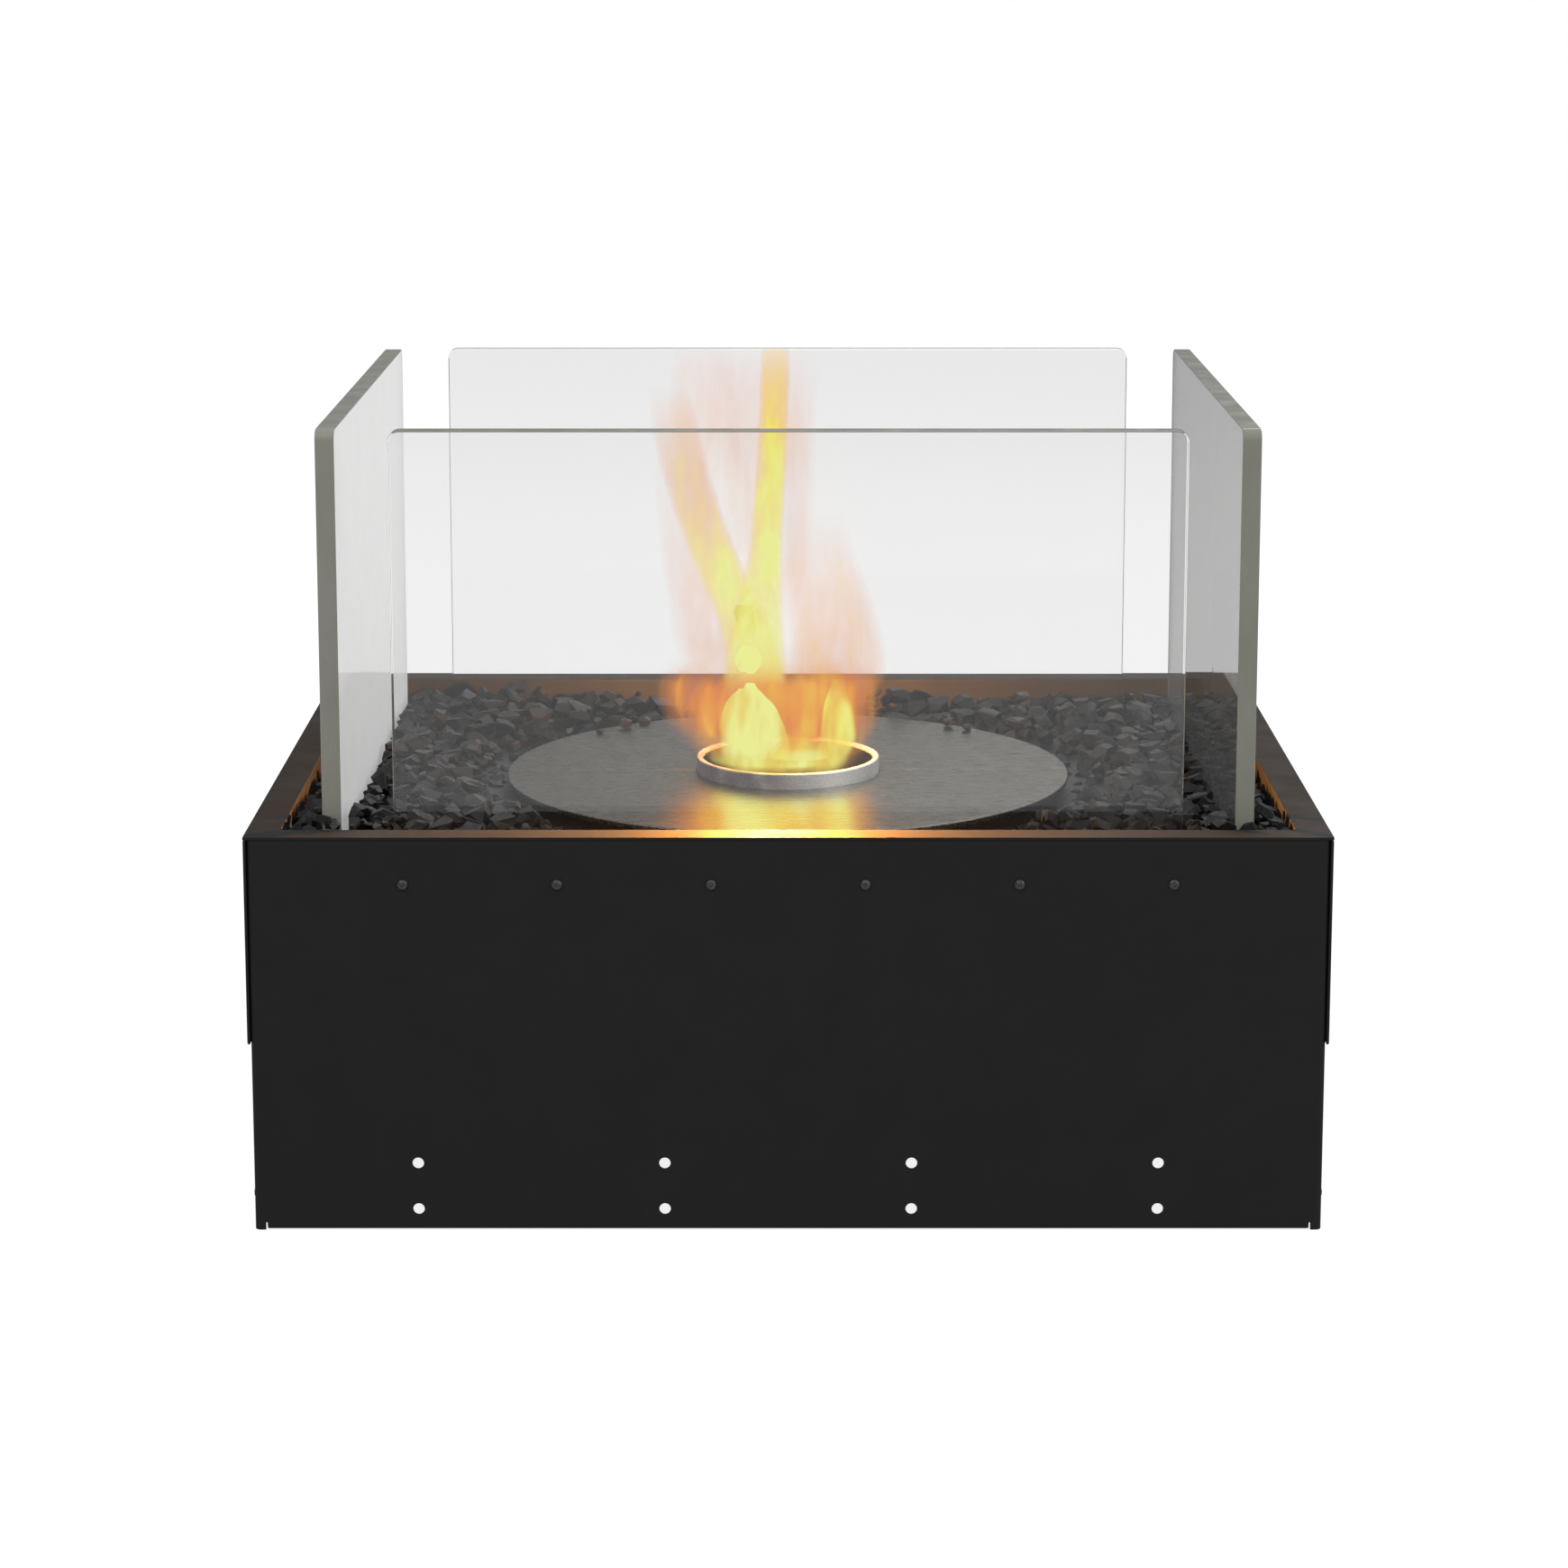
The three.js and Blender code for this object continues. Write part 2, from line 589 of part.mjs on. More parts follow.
// The bed fills the tray's floor: a flat underside, upright edges, and a top of rough pyramids, each the
// crest of a stone, with gaps between them.
function stoneBlank() {
  const halfX = trayHalfX - STONE_CLEARANCE;
  const halfY = trayHalfY - STONE_CLEARANCE;
  const columns = Math.ceil((2 * halfX) / STONE_CELL);
  const rows = Math.ceil((2 * halfY) / STONE_CELL);
  const cellX = (2 * halfX) / columns;
  const cellY = (2 * halfY) / rows;
  const bottom = trayFloor + SEAT_GAP;
  const points = [];
  const faces = [];
  const addPoint = (x, y, z) => points.push(x, y, z) / 3 - 1;

  const gap = (column, row) => {
    const inside = column > 0 && column < columns && row > 0 && row < rows;
    const stray = inside ? STONE_STRAY : 0;
    const x = -halfX + cellX * (column + stray * chance(column, row, 1));
    const y = -halfY + cellY * (row + stray * chance(column, row, 2));
    return addPoint(x, y, stoneHeight(x, y, -0.7 + 0.3 * chance(column, row, 3)));
  };
  const crest = (column, row) => {
    const x = -halfX + cellX * (column + 0.5 + STONE_STRAY * chance(column, row, 4));
    const y = -halfY + cellY * (row + 0.5 + STONE_STRAY * chance(column, row, 5));
    return addPoint(x, y, stoneHeight(x, y, 0.6 + 0.4 * chance(column, row, 6)));
  };
  const grid = Array.from({ length: rows + 1 }, (_, row) =>
    Array.from({ length: columns + 1 }, (_, column) => gap(column, row)),
  );
  for (let row = 0; row < rows; row++) {
    for (let column = 0; column < columns; column++) {
      const top = crest(column, row);
      const corners = [
        grid[row][column],
        grid[row][column + 1],
        grid[row + 1][column + 1],
        grid[row + 1][column],
      ];
      corners.forEach((corner, i) => faces.push(corner, corners[(i + 1) % 4], top));
    }
  }

  const rim = [
    ...grid[0].slice(0, -1),
    ...grid.slice(0, -1).map((line) => line[columns]),
    ...grid[rows].slice(1).reverse(),
    ...grid.slice(1).reverse().map((line) => line[0]),
  ];
  const foot = rim.map((point) => addPoint(points[3 * point], points[3 * point + 1], bottom));
  const middle = addPoint(0, 0, bottom);
  rim.forEach((point, i) => {
    const next = (i + 1) % rim.length;
    faces.push(foot[i], foot[next], rim[next], foot[i], rim[next], point, middle, foot[next], foot[i]);
  });

  const blank = new THREE.BufferGeometry();
  blank.setAttribute("position", new THREE.Float32BufferAttribute(points, 3));
  blank.setIndex(faces);
  return solidOf(blank);
}

function stoneBed() {
  const through = [trayFloor - CUT_OVERRUN, glassTop];
  const cutters = [
    ring(0, TANK_RADIUS + WELL_CLEARANCE + STONE_BURNER_GAP, ...through),
    ring(0, PLATE_RADIUS + STONE_BURNER_GAP, plateUnder - STONE_LOW / 2, glassTop),
  ];
  for (const [, x, y, turn, width] of screens) {
    const slotX = width / 2 + STONE_CLEARANCE;
    const slotY = GLASS_THICKNESS / 2 + STONE_CLEARANCE;
    const footX = HOLDER_LENGTH / 2 + STONE_CLEARANCE;
    const footY = footOuter + STONE_CLEARANCE;
    const holderTop = holderFloor + HOLDER_HEIGHT + STONE_CLEARANCE;
    const local = [
      block([-slotX, -slotY, through[0]], [slotX, slotY, through[1]]),
      ...holderPlaces(width).map((along) =>
        block([along - footX, -footY, through[0]], [along + footX, footY, holderTop]),
      ),
    ];
    const toScreen = new THREE.Matrix4().makeRotationZ(turn).setPosition(x, y, 0);
    cutters.push(...local.map((cutter) => solidOf(geometryOf(cutter).applyMatrix4(toScreen))));
  }
  place("stone_bed", cutAll(stoneBlank(), cutters), blackStone());
}

// ---------------------------------------------------------------- screws

// A button-head screw whose shank points down the -Z axis and whose head seats on z = 0.
function screw() {
  return turned(
    [
      [0, -SCREW_LENGTH],
      [SCREW_RADIUS, -SCREW_LENGTH],
      [SCREW_RADIUS, SEAT_GAP],
      [SCREW_HEAD_RADIUS, SEAT_GAP],
      [SCREW_HEAD_RADIUS, SEAT_GAP + SCREW_HEAD_HEIGHT / 3],
      [(2 * SCREW_HEAD_RADIUS) / 3, SEAT_GAP + SCREW_HEAD_HEIGHT],
      [0, SEAT_GAP + SCREW_HEAD_HEIGHT],
    ],
    SCREW_ROUND,
  );
}

// Places a screw at a point of a face whose outward normal is given.
function drive(name, point, normal) {
  const mesh = place(name, screw(), blackScrew());
  mesh.position.set(...point);
  mesh.quaternion.setFromUnitVectors(new THREE.Vector3(0, 0, 1), new THREE.Vector3(...normal));
}

function screws() {
  for (const [name, end] of [["front", -1], ["back", 1]]) {
    screwRow.forEach((x, i) => {
      drive(`${name}_screw_${i + 1}`, [x, end * halfDepth, screwHeight], [0, end, 0]);
    });
  }
  for (const [name, side] of [["left", -1], ["right", 1]]) {
    skirtScrewRow.forEach((y, i) => {
      drive(`${name}_skirt_screw_${i + 1}`, [side * halfWidth, y, screwHeight], [side, 0, 0]);
    });
    for (const [corner, end] of [["front", -1], ["back", 1]]) {
      const y = end * (halfDepth - baseScrewInset);
      drive(`${name}_${corner}_base_screw`, [side * panelHalf, y, BASE_SCREW_HEIGHT], [side, 0, 0]);
    }
  }
}

casing();
tray();
burnerWell();
heatShield();
burner();
glazing();
stoneBed();
screws();

export default part;
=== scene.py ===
"""Looks of a bioethanol fireplace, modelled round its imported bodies.

Metres, +Z up, the front faces -Y. The origin is on the floor, under the middle of the casing.
"""

import json
import logging
import math
import random
from contextlib import contextmanager
from dataclasses import dataclass, fields
from enum import Enum
from typing import Any, Callable, Iterator, Sequence

import bmesh
import bpy
from mathutils import Matrix, Vector
from mathutils.bvhtree import BVHTree

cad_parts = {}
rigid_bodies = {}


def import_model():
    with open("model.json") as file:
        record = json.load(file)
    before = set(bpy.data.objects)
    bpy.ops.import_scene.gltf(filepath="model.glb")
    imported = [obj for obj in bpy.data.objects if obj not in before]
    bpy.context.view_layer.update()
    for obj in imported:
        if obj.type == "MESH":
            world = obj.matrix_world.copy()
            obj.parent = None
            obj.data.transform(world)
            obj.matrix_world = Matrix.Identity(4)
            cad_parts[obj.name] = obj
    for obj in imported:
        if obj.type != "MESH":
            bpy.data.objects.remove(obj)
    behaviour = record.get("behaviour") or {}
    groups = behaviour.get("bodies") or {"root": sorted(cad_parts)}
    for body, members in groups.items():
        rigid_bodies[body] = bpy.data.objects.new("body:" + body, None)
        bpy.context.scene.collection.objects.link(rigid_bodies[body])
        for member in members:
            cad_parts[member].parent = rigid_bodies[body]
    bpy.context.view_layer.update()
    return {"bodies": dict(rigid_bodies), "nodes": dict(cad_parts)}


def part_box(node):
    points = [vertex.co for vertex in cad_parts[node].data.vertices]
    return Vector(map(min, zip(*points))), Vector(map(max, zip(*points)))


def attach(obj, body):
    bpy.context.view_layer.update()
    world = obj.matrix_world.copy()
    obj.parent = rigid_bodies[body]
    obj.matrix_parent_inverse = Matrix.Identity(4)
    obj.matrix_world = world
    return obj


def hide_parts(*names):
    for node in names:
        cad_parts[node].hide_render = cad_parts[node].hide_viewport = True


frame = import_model()

log = logging.getLogger("fireplace")

Colour = tuple[float, float, float]
Place = tuple[float, float, float]
HALF_TURN = math.pi
FULL_TURN = 2 * math.pi
MILLIMETRES = 1000  # in a metre
HAIR = 1e-4  # shorter than any length that is measured on the object
SAME_PLACE = 1e-6  # points closer than this are one
BIT_LENGTH = 0.02  # reaches through any of the sheets
SAME_WAY = 0.99  # two directions with a cosine over this point the same way
TILTED = 0.3  # a face with more than this of its normal upright looks up or down
SHARP = 50  # degrees: an edge that turns more than this is eased


# ---------------------------------------------------------------- modelling


class Pick(Enum):
    """What is selected on an edited mesh."""

    VERT = "VERT"
    EDGE = "EDGE"
    FACE = "FACE"


class Side(Enum):
    """A side of the casing, with the way that it faces."""

    FRONT = ("front", (0, -1, 0))
    BACK = ("back", (0, 1, 0))
    LEFT = ("left", (-1, 0, 0))
    RIGHT = ("right", (1, 0, 0))

    @property
    def label(self) -> str:
        """The side's name."""
        return self.value[0]

    @property
    def outward(self) -> Vector:
        """The way that the side faces."""
        return Vector(self.value[1])


def select_only(*objs: bpy.types.Object) -> None:
    """Selects these objects alone, the first of them active.

    Args:
        objs: the objects.
    """
    bpy.ops.object.select_all(action="DESELECT")
    for obj in objs:
        obj.select_set(True)
    bpy.context.view_layer.objects.active = objs[0]


@contextmanager
def editing(obj: bpy.types.Object) -> Iterator[None]:
    """Edit mode on one object, with nothing selected at its start.

    Args:
        obj: the object.
    """
    select_only(obj)
    bpy.ops.object.mode_set(mode="EDIT")
    bpy.ops.mesh.select_mode(type="VERT")
    bpy.ops.mesh.select_all(action="DESELECT")
    yield
    bpy.ops.object.mode_set(mode="OBJECT")


def pick(kind: Pick, test: Callable[[Any], bool]) -> int:
    """Selects on the edited mesh what passes a test, and nothing else.

    Args:
        kind: whether points, edges or faces are tested.
        test: tells whether one of them is wanted.

    Returns:
        How many were selected.
    """
    bpy.ops.mesh.select_mode(type=kind.value)
    bpy.ops.mesh.select_all(action="DESELECT")
    data = bpy.context.edit_object.data
    mesh = bmesh.from_edit_mesh(data)
    items = {Pick.VERT: mesh.verts, Pick.EDGE: mesh.edges, Pick.FACE: mesh.faces}[kind]
    wanted = [item for item in items if test(item)]
    for item in wanted:
        item.select_set(True)
    mesh.select_flush_mode()
    bmesh.update_edit_mesh(data)
    return len(wanted)


def pick_edges(test: Callable[[Vector], bool]) -> int:
    """Selects the edges that have both ends where the test wants them.

    Args:
        test: tells whether a place is wanted.

    Returns:
        How many edges were selected.
    """
    return pick(Pick.EDGE, lambda edge: all(test(v.co) for v in edge.verts))


def near(value: float, target: float, slack: float = 1e-5) -> bool:
    """Whether two lengths agree within a slack."""
    return abs(value - target) < slack


def row(count: int, pitch: float) -> list[float]:
    """Even places along a line, as many on either side of its middle."""
    return [(i - (count - 1) / 2) * pitch for i in range(count)]


def pick_all() -> None:
    """Selects all of the edited mesh."""
    bpy.ops.mesh.select_all(action="SELECT")


def weld() -> None:
    """Joins the points of the edited mesh that share a place, and leaves all of it selected."""
    pick_all()
    bpy.ops.mesh.remove_doubles(threshold=SAME_PLACE)


def slice_all(point: Sequence[float], normal: Sequence[float], **settings: Any) -> None:
    """Slices the edited mesh along a plane.

    Args:
        point: a point of the plane.
        normal: the way that the plane faces.
        settings: the slice's other settings.
    """
    pick_all()
    bpy.ops.mesh.bisect(plane_co=point, plane_no=normal, **settings)


def inset_all(width: float) -> None:
    """Insets the whole edited mesh by a width."""
    pick_all()
    bpy.ops.mesh.inset(thickness=width)


def draw_out(step: Sequence[float]) -> None:
    """Extrudes the selection by a step."""
    bpy.ops.mesh.extrude_region_move(TRANSFORM_OT_translate={"value": tuple(step)})


def ease(width: float, segments: int) -> None:
    """Rounds the selected edges.

    Args:
        width: how wide the rounding is.
        segments: the facets across it.
    """
    bpy.ops.mesh.bevel(offset=width, segments=segments, affect="EDGES")


def face_outwards() -> None:
    """Turns every face of the edited mesh outwards."""
    pick_all()
    bpy.ops.mesh.normals_make_consistent(inside=False)


def settle(name: str, scale: Sequence[float] = (1, 1, 1)) -> bpy.types.Object:
    """Names the new primitive and lays its place, turn and size down in its mesh.

    Args:
        name: the piece's name.
        scale: how far it is drawn out along its own axes first.

    Returns:
        The piece.
    """
    obj = bpy.context.object
    obj.scale = scale
    select_only(obj)
    bpy.ops.object.transform_apply(location=True, rotation=True, scale=True)
    obj.name = obj.data.name = name
    return obj


def add_box(name: str, low: Vector, high: Vector) -> bpy.types.Object:
    """A block between two corners."""
    bpy.ops.mesh.primitive_cube_add(size=1, location=(low + high) / 2, scale=high - low)
    return settle(name)


def modify(obj: bpy.types.Object, kind: str, **settings: Any) -> None:
    """Adds a modifier to a piece and applies it.

    Args:
        obj: the piece.
        kind: the modifier's type.
        settings: the modifier's settings.
    """
    select_only(obj)
    modifier = obj.modifiers.new(kind.title(), kind)
    for key, value in settings.items():
        setattr(modifier, key, value)
    bpy.ops.object.modifier_apply(modifier=modifier.name)


def cut(obj: bpy.types.Object, cutters: Sequence[bpy.types.Object]) -> None:
    """Cuts a piece with some solids, which are used up.

    Args:
        obj: the piece.
        cutters: the solids.
    """
    select_only(*cutters)
    if len(cutters) > 1:
        bpy.ops.object.join()
    tool = cutters[0]
    modify(obj, "BOOLEAN", operation="DIFFERENCE", object=tool, solver="EXACT")
    bpy.data.objects.remove(tool)


def drill(obj: bpy.types.Object, places: Sequence[Vector], radius: float, along: Vector) -> None:
    """Drills round holes through a piece.

    Args:
        obj: the piece.
        places: the middles of the holes.
        radius: the radius of the holes.
        along: the way that the holes run.
    """
    turn = Vector((0, 0, 1)).rotation_difference(along).to_euler()
    bits = []
    for place in places:
        bpy.ops.mesh.primitive_cylinder_add(
            vertices=40, radius=radius, depth=BIT_LENGTH, location=place, rotation=turn
        )
        bits.append(settle("bit"))
    cut(obj, bits)


def break_edges(
    obj: bpy.types.Object,
    width: float,
    segments: int = 2,
    angle: float = 35,
) -> None:
    """Rounds all the sharp edges of a piece a little and shades it by its angles.

    Args:
        obj: the piece.
        width: how wide the roundings are.
        segments: the facets across each.
        angle: the edges sharper than this many degrees stay sharp in the shading.
    """
    modify(
        obj,
        "BEVEL",
        width=width,
        segments=segments,
        limit_method="ANGLE",
        angle_limit=math.radians(SHARP),
        miter_outer="MITER_SHARP",
    )
    shade(obj, angle)


def shade(obj: bpy.types.Object, angle: float = 35) -> None:
    """Shades a piece smooth, apart from edges sharper than an angle in degrees."""
    select_only(obj)
    bpy.ops.object.shade_smooth_by_angle(angle=math.radians(angle))
    modify(obj, "WEIGHTED_NORMAL", keep_sharp=True, weight=100)


def copy_of(obj: bpy.types.Object, name: str, matrix: Matrix) -> bpy.types.Object:
    """A copy of a piece with a mesh of its own, moved by a matrix.

    Args:
        obj: the piece.
        name: the copy's name.
        matrix: the way from the piece to its copy.

    Returns:
        The copy.
    """
    twin = obj.copy()
    twin.data = obj.data.copy()
    twin.name = twin.data.name = name
    twin.data.transform(matrix)
    bpy.context.scene.collection.objects.link(twin)
    return twin


def half_turned(obj: bpy.types.Object, name: str) -> bpy.types.Object:
    """A copy of a piece on the other side of the Z axis."""
    return copy_of(obj, name, Matrix.Rotation(HALF_TURN, 4, "Z"))


def node_copy(node: str, name: str) -> bpy.types.Object:
    """A free copy of a CAD node, with the points that share a place joined.

    Args:
        node: the node's name.
        name: the copy's name.

    Returns:
        The copy.
    """
    obj = copy_of(frame["nodes"][node], name, Matrix.Identity(4))
    obj.parent = None
    for key in list(obj.keys()):
        del obj[key]
    with editing(obj):
        weld()
    return obj


def join(pieces: Sequence[bpy.types.Object], name: str) -> bpy.types.Object:
    """Joins some pieces into one.

    Args:
        pieces: the pieces.
        name: the name of the whole.

    Returns:
        The whole.
    """
    select_only(*pieces)
    bpy.ops.object.join()
    pieces[0].name = pieces[0].data.name = name
    return pieces[0]


def arc(
    middle: tuple[float, float], radius: float, start: float, end: float, steps: int = 5
) -> list[tuple[float, float]]:
    """Points along an arc.

    Args:
        middle: the middle of the circle.
        radius: its radius.
        start: the angle of the first point in degrees.
        end: the angle of the last point.
        steps: how many stretches the arc has.

    Returns:
        The points.
    """
    angles = [math.radians(start + (end - start) * i / steps) for i in range(steps + 1)]
    return [(middle[0] + radius * math.cos(a), middle[1] + radius * math.sin(a)) for a in angles]


def turned(
    name: str, profile: Sequence[tuple[float, float]], steps: int = 96, closed: bool = True
) -> bpy.types.Object:
    """An outline of (radius, height) points, spun about the Z axis.

    Args:
        name: the piece's name.
        profile: the outline.
        steps: the facets round the axis.
        closed: whether the outline runs on from its last point to its first.

    Returns:
        The piece.
    """
    points = [Vector((radius, 0, height)) for radius, height in profile]
    bpy.ops.mesh.primitive_plane_add(size=0.001, location=points[0])
    obj = settle(name)
    with editing(obj):
        pick_all()
        bpy.ops.mesh.merge(type="CENTER")
        for start, end in zip(points, points[1:] + points[: int(closed)]):
            bpy.ops.mesh.extrude_vertices_move(TRANSFORM_OT_translate={"value": end - start})
        weld()
        bpy.ops.mesh.spin(steps=steps, angle=FULL_TURN, center=(0, 0, 0), axis=(0, 0, 1))
        weld()
        face_outwards()
    return obj


def keep(
    obj: bpy.types.Object,
    body: str,
    material: bpy.types.Material | None = None,
    stands_for: Sequence[str] = (),
) -> bpy.types.Object:
    """Dresses a finished piece and hands it to the body that it moves with.

    Args:
        obj: the piece.
        body: the body's name.
        material: the finish, unless the piece has its own already.
        stands_for: the nodes that the piece replaces.

    Returns:
        The piece.
    """
    if material:
        obj.data.materials.clear()
        obj.data.materials.append(material)
    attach(obj, body)
    if stands_for:
        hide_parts(*stands_for)
    log.info("%s: %d faces, on %s", obj.name, len(obj.data.polygons), body)
    return obj


# ---------------------------------------------------------------- finishes


class Graph:
    """A node tree, with short ways to add and link its nodes."""

    def __init__(self, tree: bpy.types.NodeTree) -> None:
        """Takes the tree that the nodes go in."""
        self.tree = tree

    def node(self, kind: str, inputs: dict[Any, Any] | None = None, **settings: Any) -> Any:
        """Adds a node.

        Args:
            kind: the node's type.
            inputs: its inputs by name or number, each a value or the output that feeds it.
            settings: its other settings.

        Returns:
            The node.
        """
        node = self.tree.nodes.new(kind)
        for key, value in settings.items():
            setattr(node, key, value)
        self.feed(node, inputs or {})
        return node

    def feed(self, node: Any, inputs: dict[Any, Any]) -> None:
        """Feeds a node.

        Args:
            node: the node.
            inputs: its inputs by name or number, each a value or the output that feeds it.
        """
        for key, value in inputs.items():
            if isinstance(value, bpy.types.NodeSocket):
                self.tree.links.new(value, node.inputs[key])
            else:
                node.inputs[key].default_value = value

    def math(self, operation: str, *values: Any) -> Any:
        """The outcome of a Math node on up to three values."""
        node = self.node("ShaderNodeMath", dict(enumerate(values)), operation=operation)
        return node.outputs[0]

    def noise(self, vector: Any, scale: Any, detail: float = 3.0, rough: float = 0.5) -> Any:
        """The value of a Noise Texture."""
        inputs = {"Vector": vector, "Scale": scale, "Detail": detail, "Roughness": rough}
        return self.node("ShaderNodeTexNoise", inputs).outputs["Fac"]

    def remap(self, value: Any, old: tuple[Any, Any], new: tuple[Any, Any]) -> Any:
        """A value carried smoothly from one range to another."""
        inputs = dict(enumerate((value, *old, *new)))
        node = self.node("ShaderNodeMapRange", inputs, interpolation_type="SMOOTHSTEP")
        return node.outputs[0]

    def mix(self, factor: Any, first: Any, second: Any) -> Any:
        """A blend of two colours."""
        node = self.node("ShaderNodeMix", {0: factor, 6: first, 7: second}, data_type="RGBA")
        return node.outputs[2]

    def mix_number(self, factor: Any, first: Any, second: Any) -> Any:
        """A blend of two numbers."""
        return self.node("ShaderNodeMix", {0: factor, 2: first, 3: second}).outputs[0]

    def ramp(self, value: Any, stops: Sequence[tuple[float, Colour]]) -> Any:
        """A colour read from a ramp."""
        node = self.node("ShaderNodeValToRGB", {0: value})
        elements = node.color_ramp.elements
        while len(elements) < len(stops):
            elements.new(1.0)
        for element, (position, colour) in zip(elements, stops):
            element.position = position
            element.color = (*colour, 1)
        return node.outputs[0]

    def stretch(self, vector: Any, scale: Place) -> Any:
        """A vector stretched along the axes."""
        node = self.node("ShaderNodeMapping", {"Vector": vector, "Scale": scale})
        return node.outputs[0]

    def split(self, vector: Any) -> Any:
        """The three parts of a vector."""
        return self.node("ShaderNodeSeparateXYZ", {0: vector}).outputs

    def blend(self, share: Any, first: Any, second: Any) -> Any:
        """A blend of two surfaces, all of it the second at a share of 1."""
        return self.node("ShaderNodeMixShader", {0: share, 1: first, 2: second}).outputs[0]

    def rays(self) -> Any:
        """The outputs that tell what kind of look meets the surface."""
        return self.node("ShaderNodeLightPath").outputs

    def attribute(self, name: str) -> Any:
        """The value of a mesh attribute."""
        return self.node("ShaderNodeAttribute", attribute_name=name).outputs["Fac"]

    def place(self) -> Any:
        """The place on the object."""
        return self.node("ShaderNodeTexCoord").outputs["Object"]

    def bump(self, height: Any, strength: float, distance: float) -> Any:
        """A normal bumped by a height."""
        inputs = {"Height": height, "Strength": strength, "Distance": distance}
        return self.node("ShaderNodeBump", inputs).outputs[0]


def new_material(name: str) -> tuple[bpy.types.Material, Graph, Any]:
    """A new material.

    Args:
        name: its name.

    Returns:
        The material, its graph and its Principled shader.
    """
    material = bpy.data.materials.new(name)
    material.use_nodes = True
    graph = Graph(material.node_tree)
    return material, graph, material.node_tree.nodes["Principled BSDF"]


def rgba(colour: Colour) -> tuple[float, float, float, float]:
    """A colour with full cover."""
    return (*colour, 1.0)


def give_surface(material: bpy.types.Material, graph: Graph, surface: Any) -> None:
    """Makes a shader's output the surface of a material."""
    graph.feed(material.node_tree.nodes["Material Output"], {"Surface": surface})


def mirror_ray(graph: Graph) -> Any:
    """1 for a look by way of a shiny surface, 0 for a look straight on or through glass."""
    path = graph.rays()
    mirrored = graph.math("MINIMUM", path["Glossy Depth"], 1.0)
    return graph.math("MULTIPLY", mirrored, graph.math("SUBTRACT", 1.0, path["Is Diffuse Ray"]))


@dataclass(frozen=True)
class Dust:
    """A film of dust on the faces that look up."""

    colour: Colour
    cover: float
    patch: float


